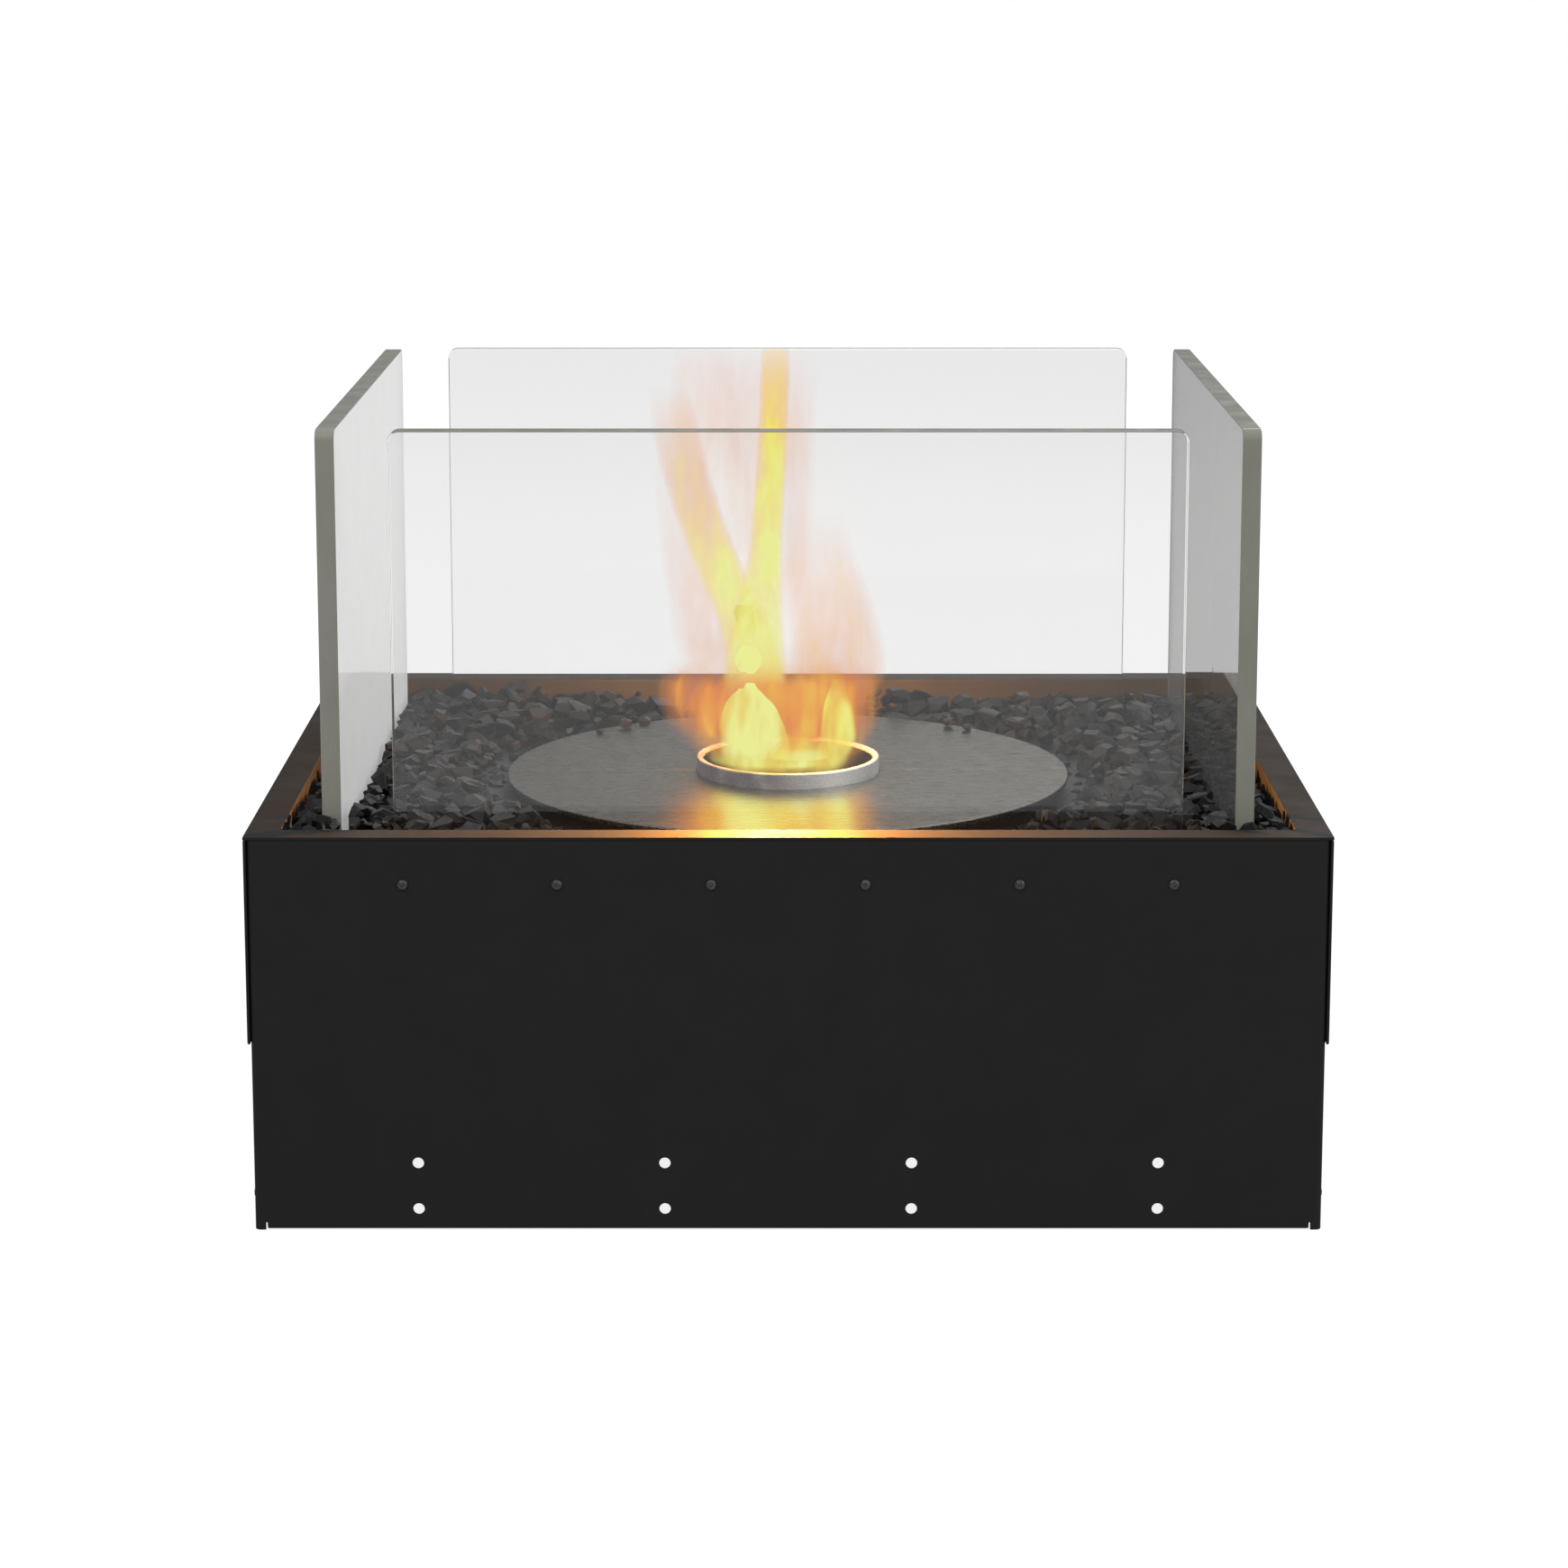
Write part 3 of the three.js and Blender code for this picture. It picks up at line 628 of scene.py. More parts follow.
class Effects:
    """Shader groups that more than one finish uses, each built once."""

    def __init__(self) -> None:
        """Builds the groups."""
        self.peel = self._peel()
        self.grain = self._grain()
        self.patina = self._patina()

    @staticmethod
    def _group(
        name: str, inputs: Sequence[tuple[str, str]], outputs: Sequence[str]
    ) -> tuple[bpy.types.NodeTree, Graph, Any, Any]:
        """A new group with its sockets.

        Args:
            name: the group's name.
            inputs: the name and socket type of each input.
            outputs: the name of each output, all of them numbers.

        Returns:
            The group, its graph, and its input and output nodes.
        """
        group = bpy.data.node_groups.new(name, "ShaderNodeTree")
        for label, kind in inputs:
            group.interface.new_socket(name=label, in_out="INPUT", socket_type=kind)
        for label in outputs:
            group.interface.new_socket(name=label, in_out="OUTPUT", socket_type="NodeSocketFloat")
        graph = Graph(group)
        return group, graph, graph.node("NodeGroupInput"), graph.node("NodeGroupOutput")

    def _peel(self) -> bpy.types.NodeTree:
        """Fine lumps and slow unevenness of a sprayed or cast skin."""
        group, g, given, out = self._group(
            "fine_peel",
            [("Vector", "NodeSocketVector"), ("Lumps", "NodeSocketFloat")],
            ["Height", "Cloud"],
        )
        vector, lumps = given.outputs["Vector"], given.outputs["Lumps"]
        coarse = g.noise(vector, lumps, 2.0)
        fine = g.noise(vector, g.math("MULTIPLY", lumps, 2.7), 1.0)
        height = g.math("ADD", coarse, g.math("MULTIPLY", fine, 0.4))
        g.feed(out, {"Height": height, "Cloud": g.noise(vector, 34.0, 4.0, 0.6)})
        return group

    def _grain(self) -> bpy.types.NodeTree:
        """Long fine scratches along X, as a belt leaves them on steel sheet."""
        group, g, given, out = self._group(
            "brushed_grain",
            [("Vector", "NodeSocketVector"), ("Length", "NodeSocketFloat")],
            ["Height", "Streak"],
        )
        x, y, z = g.split(given.outputs["Vector"])
        along = g.math("DIVIDE", x, given.outputs["Length"])
        line = g.node("ShaderNodeCombineXYZ", {0: along, 1: y, 2: z}).outputs[0]
        wide = g.noise(line, 1300.0, 3.0, 0.6)
        fine = g.noise(line, 3600.0, 2.0, 0.6)
        height = g.math("ADD", g.math("MULTIPLY", wide, 0.5), fine)
        g.feed(out, {"Height": height, "Streak": g.remap(wide, (0.3, 0.7), (0.0, 1.0))})
        return group

    def _patina(self) -> bpy.types.NodeTree:
        """Dust in patches on faces that look up, and how far a place is from the flame's axis."""
        group, g, given, out = self._group(
            "settled_dust",
            [("Vector", "NodeSocketVector"), ("Patch", "NodeSocketFloat")],
            ["Dust", "Reach"],
        )
        vector = given.outputs["Vector"]
        normal = g.node("ShaderNodeNewGeometry").outputs["Normal"]
        patches = g.noise(vector, given.outputs["Patch"], 5.0, 0.65)
        level = g.remap(g.split(normal)[2], (0.55, 1.0), (0.0, 1.0))
        dust = g.math("MULTIPLY", level, g.remap(patches, (0.42, 0.72), (0.0, 1.0)))
        flat = g.stretch(vector, (1, 1, 0))
        length = g.node("ShaderNodeVectorMath", {0: flat}, operation="LENGTH").outputs["Value"]
        g.feed(out, {"Dust": dust, "Reach": length})
        return group

    @staticmethod
    def use(graph: Graph, group: bpy.types.NodeTree, **inputs: Any) -> Any:
        """Places a group in a material.

        Args:
            graph: the material's graph.
            group: the group.
            inputs: the group's inputs by name.

        Returns:
            The outputs of the group, by name.
        """
        node = graph.node("ShaderNodeGroup", node_tree=group)
        graph.feed(node, inputs)
        return node.outputs

    def dusted(self, graph: Graph, place: Any, colour: Any, dust: Dust) -> Any:
        """A colour under a film of dust.

        Args:
            graph: the material's graph.
            place: the place on the object.
            colour: the colour.
            dust: the dust.

        Returns:
            The colour with the dust over it.
        """
        settled = self.use(graph, self.patina, Vector=place, Patch=dust.patch)["Dust"]
        share = graph.math("MULTIPLY", settled, dust.cover)
        return graph.mix(share, colour, rgba(dust.colour))


@dataclass(frozen=True)
class PowderCoat:
    """Black powder coating with a fine texture."""

    name: str = "black_powder_coat"
    colour: Colour = (0.0078, 0.0078, 0.0081)
    worn: Colour = (0.0112, 0.0110, 0.0110)
    roughness: tuple[float, float] = (0.62, 0.72)
    specular: float = 0.26
    lumps: float = 1100.0
    relief: float = 0.00006
    dust: Dust = Dust((0.12, 0.11, 0.10), 0.10, 26.0)

    def material(self, effects: Effects) -> bpy.types.Material:
        """The finish as a material."""
        material, g, skin = new_material(self.name)
        place = g.place()
        peel = effects.use(g, effects.peel, Vector=place, Lumps=self.lumps)
        colour = g.mix(peel["Cloud"], rgba(self.colour), rgba(self.worn))
        g.feed(skin, {
            "Base Color": effects.dusted(g, place, colour, self.dust),
            "Roughness": g.remap(peel["Cloud"], (0.3, 0.7), self.roughness),
            "Normal": g.bump(peel["Height"], 0.35, self.relief),
            "Specular IOR Level": self.specular,
        })
        return material


@dataclass(frozen=True)
class ZincSheet:
    """Galvanised sheet with faint crystals, for what the casing hides."""

    name: str = "zinc_sheet"
    light: Colour = (0.40, 0.41, 0.42)
    dark: Colour = (0.27, 0.28, 0.29)
    crystals: float = 130.0
    dust: Dust = Dust((0.16, 0.15, 0.14), 0.35, 40.0)

    def material(self, effects: Effects) -> bpy.types.Material:
        """The finish as a material."""
        material, g, skin = new_material(self.name)
        place = g.place()
        cells = g.node("ShaderNodeTexVoronoi", {"Vector": place, "Scale": self.crystals})
        tone = g.node("ShaderNodeSeparateColor", {0: cells.outputs["Color"]}).outputs[0]
        peel = effects.use(g, effects.peel, Vector=place, Lumps=500.0)
        shade_of = g.math("MULTIPLY", g.math("ADD", tone, peel["Cloud"]), 0.5)
        zinc = g.mix(shade_of, rgba(self.dark), rgba(self.light))
        g.feed(skin, {
            "Base Color": effects.dusted(g, place, zinc, self.dust),
            "Roughness": g.remap(shade_of, (0.0, 1.0), (0.48, 0.34)),
            "Normal": g.bump(peel["Height"], 0.2, 0.00004),
            "Metallic": 0.85,
        })
        return material


@dataclass(frozen=True)
class BlackOxide:
    """Blackened steel of the screws, rubbed brighter where a key has turned them."""

    name: str = "black_oxide"
    dark: Colour = (0.035, 0.035, 0.038)
    rubbed: Colour = (0.13, 0.13, 0.135)

    def material(self, effects: Effects) -> bpy.types.Material:
        """The finish as a material."""
        material, g, skin = new_material(self.name)
        peel = effects.use(g, effects.peel, Vector=g.place(), Lumps=2600.0)
        rub = g.remap(peel["Height"], (0.55, 0.95), (0.0, 1.0))
        g.feed(skin, {
            "Base Color": g.mix(rub, rgba(self.dark), rgba(self.rubbed)),
            "Roughness": g.remap(rub, (0.0, 1.0), (0.42, 0.3)),
            "Normal": g.bump(peel["Height"], 0.25, 0.00003),
            "Metallic": 0.7,
        })
        return material


@dataclass(frozen=True)
class BrushedSteel:
    """Stainless sheet with a belt grain along X, tinted by heat near the flame."""

    name: str
    light: Colour = (0.225, 0.207, 0.181)
    dark: Colour = (0.190, 0.175, 0.153)
    roughness: tuple[float, float] = (0.25, 0.31)
    straw: Colour = (0.20, 0.15, 0.095)
    hot: tuple[float, float] = (0.055, 0.085)  # radii between which the heat tint fades
    grain: float = 14.0  # how many times longer than wide the scratches are
    dust: Dust = Dust((0.2, 0.19, 0.18), 0.12, 55.0)

    def material(self, effects: Effects) -> bpy.types.Material:
        """The finish as a material."""
        material, g, skin = new_material(self.name)
        place = g.place()
        grain = effects.use(g, effects.grain, Vector=place, Length=self.grain)
        reach = effects.use(g, effects.patina, Vector=place)["Reach"]
        metal = g.mix(grain["Streak"], rgba(self.dark), rgba(self.light))
        tint = g.remap(reach, self.hot, (0.55, 0.0))
        metal = g.mix(tint, metal, rgba(self.straw))
        g.feed(skin, {
            "Base Color": effects.dusted(g, place, metal, self.dust),
            "Roughness": g.remap(grain["Streak"], (0.0, 1.0), self.roughness),
            "Normal": g.bump(grain["Height"], 0.12, 0.00001),
            "Metallic": 1.0,
        })
        return material


@dataclass(frozen=True)
class PolishedSteel:
    """Polished stainless ring, with a painted dark violet reflection in patches over its left side.
    """

    name: str = "polished_steel"
    bright: Colour = (0.95, 0.94, 0.93)
    violet: Colour = (0.24, 0.19, 0.21)
    tint_side: float = 0.0  # metres along X: the painted dark reflection grows towards the left of this

    def material(self, effects: Effects) -> bpy.types.Material:
        """The finish as a material."""
        material, g, skin = new_material(self.name)
        place = g.place()
        across = g.split(place)[0]
        # painted reflection: the ring's left side is painted dark violet in patches, as a darker
        # mirror image there
        side = g.remap(across, (self.tint_side + 0.026, self.tint_side - 0.02), (0.0, 1.0))
        patches = g.remap(g.noise(place, 38.0, 4.0, 0.6), (0.25, 0.6), (0.45, 1.0))
        tint = g.math("MULTIPLY", side, patches)
        fine = g.noise(g.stretch(place, (1, 1, 6)), 900.0, 2.0)
        g.feed(skin, {
            "Base Color": g.mix(tint, rgba(self.bright), rgba(self.violet)),
            "Roughness": g.remap(fine, (0.3, 0.7), (0.20, 0.30)),
            "Normal": g.bump(fine, 0.08, 0.00001),
            "Metallic": 0.55,
        })
        return material


@dataclass(frozen=True)
class CeramicWool:
    """White fibre felt that soaks up the fuel."""

    name: str = "ceramic_wool"
    colour: Colour = (0.72, 0.69, 0.63)
    shadow: Colour = (0.45, 0.42, 0.37)

    def material(self, effects: Effects) -> bpy.types.Material:
        """The finish as a material."""
        material, g, skin = new_material(self.name)
        place = g.place()
        fibre = g.noise(g.stretch(place, (1, 3, 1)), 620.0, 6.0, 0.7)
        peel = effects.use(g, effects.peel, Vector=place, Lumps=180.0)
        g.feed(skin, {"Base Color": g.mix(fibre, rgba(self.shadow), rgba(self.colour))})
        height = g.math("ADD", fibre, peel["Height"])
        g.feed(skin, {
            "Normal": g.bump(height, 0.7, 0.0006),
            "Roughness": 0.95,
        })
        return material


@dataclass(frozen=True)
class ClearGlass:
    """Clear toughened glass under a thin film of dust, which shows most at a glancing look; the
    film can also glow with painted light.
    """

    name: str
    film: float  # the share of the light that the film on one face catches, looked at straight on
    dust: float
    glow: float  # painted light: how brightly the dust film glows, though no lamp lights it
    index: float
    tint: Colour = (0.985, 0.988, 0.985)
    shadow: Colour = (0.88, 0.9, 0.89)  # what is left of the light behind a pane

    def material(self, effects: Effects) -> bpy.types.Material:
        """The finish as a material."""
        material, g, skin = new_material(self.name)
        peel = effects.use(g, effects.peel, Vector=g.place(), Lumps=60.0)
        g.feed(skin, {
            "Base Color": rgba(self.tint),
            "Roughness": 0.0,
            "IOR": self.index,
            "Transmission Weight": 1.0,
        })
        clear = g.node("ShaderNodeBsdfTransparent", {"Color": rgba(self.shadow)}).outputs[0]
        glass = g.blend(g.rays()["Is Shadow Ray"], skin.outputs[0], clear)
        facing = g.node("ShaderNodeLayerWeight", {"Blend": 0.5}).outputs["Facing"]
        upright = g.math("MAXIMUM", g.math("SUBTRACT", 1.0, facing), 0.02)
        let_by = g.math("POWER", 1.0 - self.film, g.math("DIVIDE", 1.0, upright))
        caught = g.math("SUBTRACT", 1.0, let_by)
        marks = g.remap(peel["Cloud"], (0.3, 0.7), (0.8, 1.1))
        share = g.math("MULTIPLY", caught, g.mix_number(upright, 1.0, marks))
        dust = g.node("ShaderNodeBsdfDiffuse", {"Color": rgba((self.dust,) * 3)})
        # painted light: an emission on the dust film, a glow with no lamp behind it
        painted_film_glow = g.node("ShaderNodeEmission", {"Strength": self.glow})
        lit = g.node("ShaderNodeAddShader", {0: dust.outputs[0], 1: painted_film_glow.outputs[0]})
        give_surface(material, g, g.blend(share, glass, lit.outputs[0]))
        return material


@dataclass(frozen=True)
class GlassEdge:
    """Ground and polished edge of a thick pane, grey-green and darker than its faces."""

    name: str = "glass_edge"
    light: Colour = (0.33, 0.332, 0.285)
    dark: Colour = (0.225, 0.227, 0.195)
    specular: float = 0.15

    def material(self, effects: Effects) -> bpy.types.Material:
        """The finish as a material."""
        material, g, skin = new_material(self.name)
        place = g.place()
        drift = g.noise(g.stretch(place, (1, 1, 0.4)), 46.0, 3.0)
        peel = effects.use(g, effects.peel, Vector=place, Lumps=1800.0)
        g.feed(skin, {
            "Base Color": g.mix(drift, rgba(self.dark), rgba(self.light)),
            "Roughness": g.remap(drift, (0.3, 0.7), (0.12, 0.3)),
            "Normal": g.bump(peel["Height"], 0.1, 0.00003),
            "Specular IOR Level": self.specular,
        })
        return material


@dataclass(frozen=True)
class CrushedStone:
    """Dark crushed glassy stone: each chip has its own tone, some facets glint, and fine specks of
    painted glint lighten its colour.
    """

    name: str = "crushed_stone"
    dark: Colour = (0.0016, 0.0017, 0.0019)
    light: Colour = (0.0230, 0.0234, 0.0242)
    # the colour of the painted glint specks
    glint: Colour = (0.024, 0.025, 0.027)
    dust: Dust = Dust((0.08, 0.08, 0.08), 0.06, 240.0)

    def material(self, effects: Effects) -> bpy.types.Material:
        """The finish as a material."""
        material, g, skin = new_material(self.name)
        place = g.place()
        tone = g.attribute("tone")
        peel = effects.use(g, effects.peel, Vector=place, Lumps=900.0)
        grit = g.noise(place, 420.0, 5.0, 0.7)
        base = g.mix(tone, rgba(self.dark), rgba(self.light))
        # painted glint: specks where the grit noise is high are lightened toward the glint colour
        painted_glint_share = g.remap(grit, (0.6, 0.75), (0.0, 0.5))
        base = g.mix(painted_glint_share, base, rgba(self.glint))
        g.feed(skin, {
            "Base Color": effects.dusted(g, place, base, self.dust),
            "Roughness": g.remap(grit, (0.3, 0.7), (0.55, 0.34)),
        })
        height = g.math("ADD", g.math("MULTIPLY", grit, 0.7), peel["Height"])
        g.feed(skin, {
            "Normal": g.bump(height, 0.6, 0.0005),
            "Specular IOR Level": 0.28,
        })
        return material


@dataclass(frozen=True)
class FlameSkin:
    """The glow of a flame, soft at its borders: each place has its own cover and warmth."""

    name: str = "burning_vapour"
    fleck: float = 60.0
    mirrored: float = 3.2  # a real flame outshines what a screen can show: its image tells
    rim: float = 0.78  # how far from facing the eye its border fades out
    softness: float = 1.4
    ragged_cover: float = 2.2
    ragged_warmth: float = 1.3
    rim_cooling: float = 0.22
    heats: tuple[tuple[float, Colour], ...] = (
        (0.0, (0.78, 0.26, 0.13)),
        (0.2, (0.80, 0.25, 0.045)),
        (0.4, (0.84, 0.37, 0.05)),
        (0.65, (0.88, 0.60, 0.07)),
        (0.85, (0.88, 0.80, 0.13)),
        (1.0, (0.86, 0.88, 0.27)),
    )

    def material(self, effects: Effects) -> bpy.types.Material:
        """The finish as a material."""
        material, g, skin = new_material(self.name)
        place = g.place()
        cover, warmth = g.attribute("cover"), g.attribute("warmth")
        peel = effects.use(g, effects.peel, Vector=g.stretch(place, (1, 1, 0.25)), Lumps=self.fleck)
        streak = g.math("SUBTRACT", g.math("MULTIPLY", peel["Height"], 1 / 1.4), 0.5)
        facing = g.node("ShaderNodeLayerWeight", {"Blend": 0.5}).outputs["Facing"]
        depth = g.math("POWER", g.remap(facing, (self.rim, 0.0), (0.0, 1.0)), self.softness)
        ragged = g.math("ADD", 1.0, g.math("MULTIPLY", streak, self.ragged_cover))
        solid = g.math("MULTIPLY", g.math("MULTIPLY", cover, depth), ragged)
        near_side = g.node("ShaderNodeNewGeometry").outputs["Backfacing"]
        near_side = g.math("SUBTRACT", 1.0, near_side)
        alpha = g.math("MINIMUM", g.math("MULTIPLY", solid, near_side), 1.0)
        warm = g.math("ADD", warmth, g.math("MULTIPLY", streak, self.ragged_warmth))
        cooling = g.math("MULTIPLY", g.math("SUBTRACT", 1.0, depth), self.rim_cooling)
        warm = g.math("SUBTRACT", warm, cooling)
        strength = g.math("ADD", 1.0, g.math("MULTIPLY", mirror_ray(g), self.mirrored - 1.0))
        g.feed(skin, {
            "Emission Color": g.ramp(warm, self.heats),
            "Emission Strength": strength,
            "Alpha": alpha,
            "Base Color": (0, 0, 0, 1),
            "Roughness": 1.0,
            "Specular IOR Level": 0.0,
        })
        return material


@dataclass
class Finishes:
    """Every finish of the object, made once."""

    effects: Effects

    def __post_init__(self) -> None:
        """Makes the materials."""
        make = self.effects
        self.black = PowderCoat().material(make)
        self.zinc = ZincSheet().material(make)
        self.screw = BlackOxide().material(make)
        self.plate = BrushedSteel("brushed_plate").material(make)
        self.burner = BrushedSteel(
            "satin_burner", (0.44, 0.43, 0.41), (0.38, 0.37, 0.355), (0.3, 0.38)
        ).material(make)
        self.polished = PolishedSteel().material(make)
        self.wool = CeramicWool().material(make)
        self.glass = {
            side: ClearGlass(f"clear_glass_{side.label}", film, dust, glow, index).material(make)
            # the glow of each pane's film is painted light; only the left pane has any
            for side, film, dust, glow, index in (
                (Side.FRONT, 0.010, 0.40, 0.0, 1.5),
                (Side.BACK, 0.004, 0.40, 0.0, 1.25),
                (Side.LEFT, 0.130, 0.75, 0.30, 1.5),
                (Side.RIGHT, 0.050, 0.16, 0.0, 1.5),
            )
        }
        self.glass_edge = GlassEdge().material(make)
        self.stone = CrushedStone().material(make)
        self.flame = FlameSkin().material(make)


# ---------------------------------------------------------------- casing


@dataclass
class Casing:
    """The folded front and back panels, the side covers and the tray."""

    finishes: Finishes
    sheet: float = 0.0015
    bend: float = 0.003
    side_fold: float = 0.030
    base_fold: float = 0.020
    base_half: float = 0.2741
    relief: float = 0.0008
    relief_height: float = 0.004
    fixing_radius: float = 0.003
    fixing_pitch: float = 0.1295
    fixing_count: int = 4
    fixing_rows: tuple[float, float] = (0.0115, 0.0365)
    screw_hole: float = 0.0018
    screw_height: float = 0.187
    screw_pitch: float = 0.080
    screw_count: int = 6
    cover_screws: tuple[float, ...] = (-0.16, 0.0, 0.16)
    base_screw_height: float = 0.016
    base_screw_inset: float = 0.015
    lip: float = 0.018
    tray_depth: float = 0.052
    tray_radius: float = 0.002
    lip_radius: float = 0.0012
    mouth: float = 0.120
    cover_radius: float = 0.0007
    sheet_arris: float = 0.0003
    tray_arris: float = 0.0004

    def build(self) -> None:
        """Makes and dresses the casing."""
        front = self.front_panel()
        back = half_turned(front, "back_sheet")
        right = self.cover()
        left = half_turned(right, "left_cover")
        for obj, node in (
            (front, "front_panel"),
            (back, "back_panel"),
            (right, "right_skirt"),
            (left, "left_skirt"),
            (self.tray(), "fire_tray"),
        ):
            keep(obj, "casing", self.finishes.black, [node])

    def front_panel(self) -> bpy.types.Object:
        """The front sheet, folded back at both sides and at its foot."""
        low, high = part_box("front_panel")
        half, front = high.x, low.y
        bpy.ops.mesh.primitive_plane_add(
            size=1, location=(0, front, high.z / 2), rotation=(math.pi / 2, 0, 0)
        )
        obj = settle("front_sheet", (2 * half, high.z, 1))
        notch = self.base_half + self.relief
        with editing(obj):
            for x in (-notch, -self.base_half, self.base_half, notch):
                slice_all((x, 0, 0), (1, 0, 0))
            slice_all((0, 0, self.relief_height), (0, 0, 1))
            pick(Pick.FACE, self._in_relief)
            bpy.ops.mesh.delete(type="FACE")
            pick_edges(lambda co: near(abs(co.x), half))
            draw_out((0, self.side_fold, 0))
            pick_edges(lambda co: near(co.z, 0) and abs(co.x) < self.base_half + HAIR)
            draw_out((0, self.base_fold, 0))
            pick_edges(
                lambda co: near(co.y, front)
                and (near(abs(co.x), half) or (near(co.z, 0) and abs(co.x) < notch - HAIR))
            )
            ease(self.bend, 6)
        modify(obj, "SOLIDIFY", thickness=self.sheet, offset=-1, use_even_offset=True)
        spots = row(self.fixing_count, self.fixing_pitch)
        fixings = [Vector((x, front, z)) for x in spots for z in self.fixing_rows]
        drill(obj, fixings, self.fixing_radius, Vector((0, 1, 0)))
        spots = row(self.screw_count, self.screw_pitch)
        screws = [Vector((x, front, self.screw_height)) for x in spots]
        drill(obj, screws, self.screw_hole, Vector((0, 1, 0)))
        sides = [
            Vector((side * half, front + self.base_screw_inset, self.base_screw_height))
            for side in (-1, 1)
        ]
        drill(obj, sides, self.screw_hole, Vector((1, 0, 0)))
        break_edges(obj, self.sheet_arris)
        return obj

    def _in_relief(self, face: Any) -> bool:
        """Whether a face lies in the relief cut beside the foot fold."""
        middle = face.calc_center_median()
        beside = self.base_half < abs(middle.x) < self.base_half + self.relief
        return beside and middle.z < self.relief_height

    def cover(self) -> bpy.types.Object:
        """The right cover: a plate over the upper side, its long edges eased."""
        low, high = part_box("right_skirt")
        obj = add_box("right_cover", low, high)
        with editing(obj):
            pick_edges(lambda co: near(co.x, high.x) and near(abs(co.y), high.y))
            ease(self.cover_radius, 3)
        places = [Vector((high.x, y, self.screw_height)) for y in self.cover_screws]
        drill(obj, places, self.screw_hole, Vector((1, 0, 0)))
        break_edges(obj, self.sheet_arris)
        return obj

    def tray(self) -> bpy.types.Object:
        """The tray: a lip, walls and a floor in one folded sheet, with a round mouth."""
        low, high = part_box("fire_tray")
        inner = Vector((high.x - self.lip, high.y - self.lip))
        floor = high.z - self.tray_depth
        bpy.ops.mesh.primitive_plane_add(size=1, location=(0, 0, high.z))
        obj = settle("stone_tray", (2 * high.x, 2 * high.y, 1))

        def inside(co: Vector) -> bool:
            """Whether a place lies within the lip."""
            return abs(co.x) < inner.x + HAIR and abs(co.y) < inner.y + HAIR

        with editing(obj):
            inset_all(self.lip)
            pick(Pick.FACE, lambda face: all(inside(v.co) for v in face.verts))
            draw_out((0, 0, -self.tray_depth))
            pick(Pick.EDGE, lambda edge: min(v.co.z for v in edge.verts) < high.z - HAIR)
            ease(self.tray_radius, 4)
            pick_edges(lambda co: near(co.z, high.z) and inside(co))
            ease(self.lip_radius, 3)
        modify(obj, "SOLIDIFY", thickness=self.sheet, offset=-1, use_even_offset=False)
        bpy.ops.mesh.primitive_cylinder_add(
            vertices=96, radius=self.mouth, depth=BIT_LENGTH, location=(0, 0, floor)
        )
        cut(obj, [settle("mouth")])
        break_edges(obj, self.tray_arris)
        return obj


@dataclass
class Screws:
    """Button-head screws, turned once and copied to every place."""

    finishes: Finishes
    head: float = 0.0029
    head_height: float = 0.0015
    seat: float = 0.0003
    shank: float = 0.0015
    length: float = 0.008
    key: float = 0.00105
    key_depth: float = 0.0008

    def build(self) -> None:
        """Makes the screws and puts one at each of their nodes."""
        screw = self.model()
        nodes = sorted(name for name in frame["nodes"] if "_screw" in name)
        for node in nodes:
            side = self.side_of(node)
            twin = copy_of(screw, f"{node}_head", self.seat_of(node, side))
            keep(twin, "casing", self.finishes.screw, [node])
        bpy.data.objects.remove(screw)

    @staticmethod
    def side_of(node: str) -> Side:
        """The side that a screw goes into, by its node's name."""
        return next(side for side in Side if node.startswith(side.label))

    def seat_of(self, node: str, side: Side) -> Matrix:
        """The place and turn of a screw.

        Args:
            node: the screw's node.
            side: the side that it goes into.

        Returns:
            The way from the model to the screw's place.
        """
        low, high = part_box(node)
        out = side.outward
        middle = (low + high) / 2
        top = high if sum(out) > 0 else low
        rise = self.seat + self.head_height
        face = Vector(t if o else m for t, o, m in zip(top, out, middle)) - out * rise
        turn = Vector((0, 0, 1)).rotation_difference(out).to_matrix().to_4x4()
        return Matrix.Translation(face) @ turn

    def model(self) -> bpy.types.Object:
        """One screw, its head seated on z = 0 and its shank below."""
        low, top = self.seat, self.seat + self.head_height
        profile = [
            (0.0, -self.length),
            (self.shank * 0.7, -self.length),
            (self.shank, -self.length + 0.0006),
            (self.shank, low),
            (self.head, low),
            (self.head, low + 0.0003),
            (self.head * 0.92, low + 0.0008),
            (self.head * 0.76, low + 0.00122),
            (self.head * 0.55, top),
            (0.0, top),
        ]
        obj = turned("screw", profile, steps=20)
        bpy.ops.mesh.primitive_cylinder_add(
            vertices=6, radius=self.key, depth=2 * self.key_depth, location=(0, 0, top)
        )
        cut(obj, [settle("key")])
        shade(obj, 30)
        return obj


# ---------------------------------------------------------------- burner


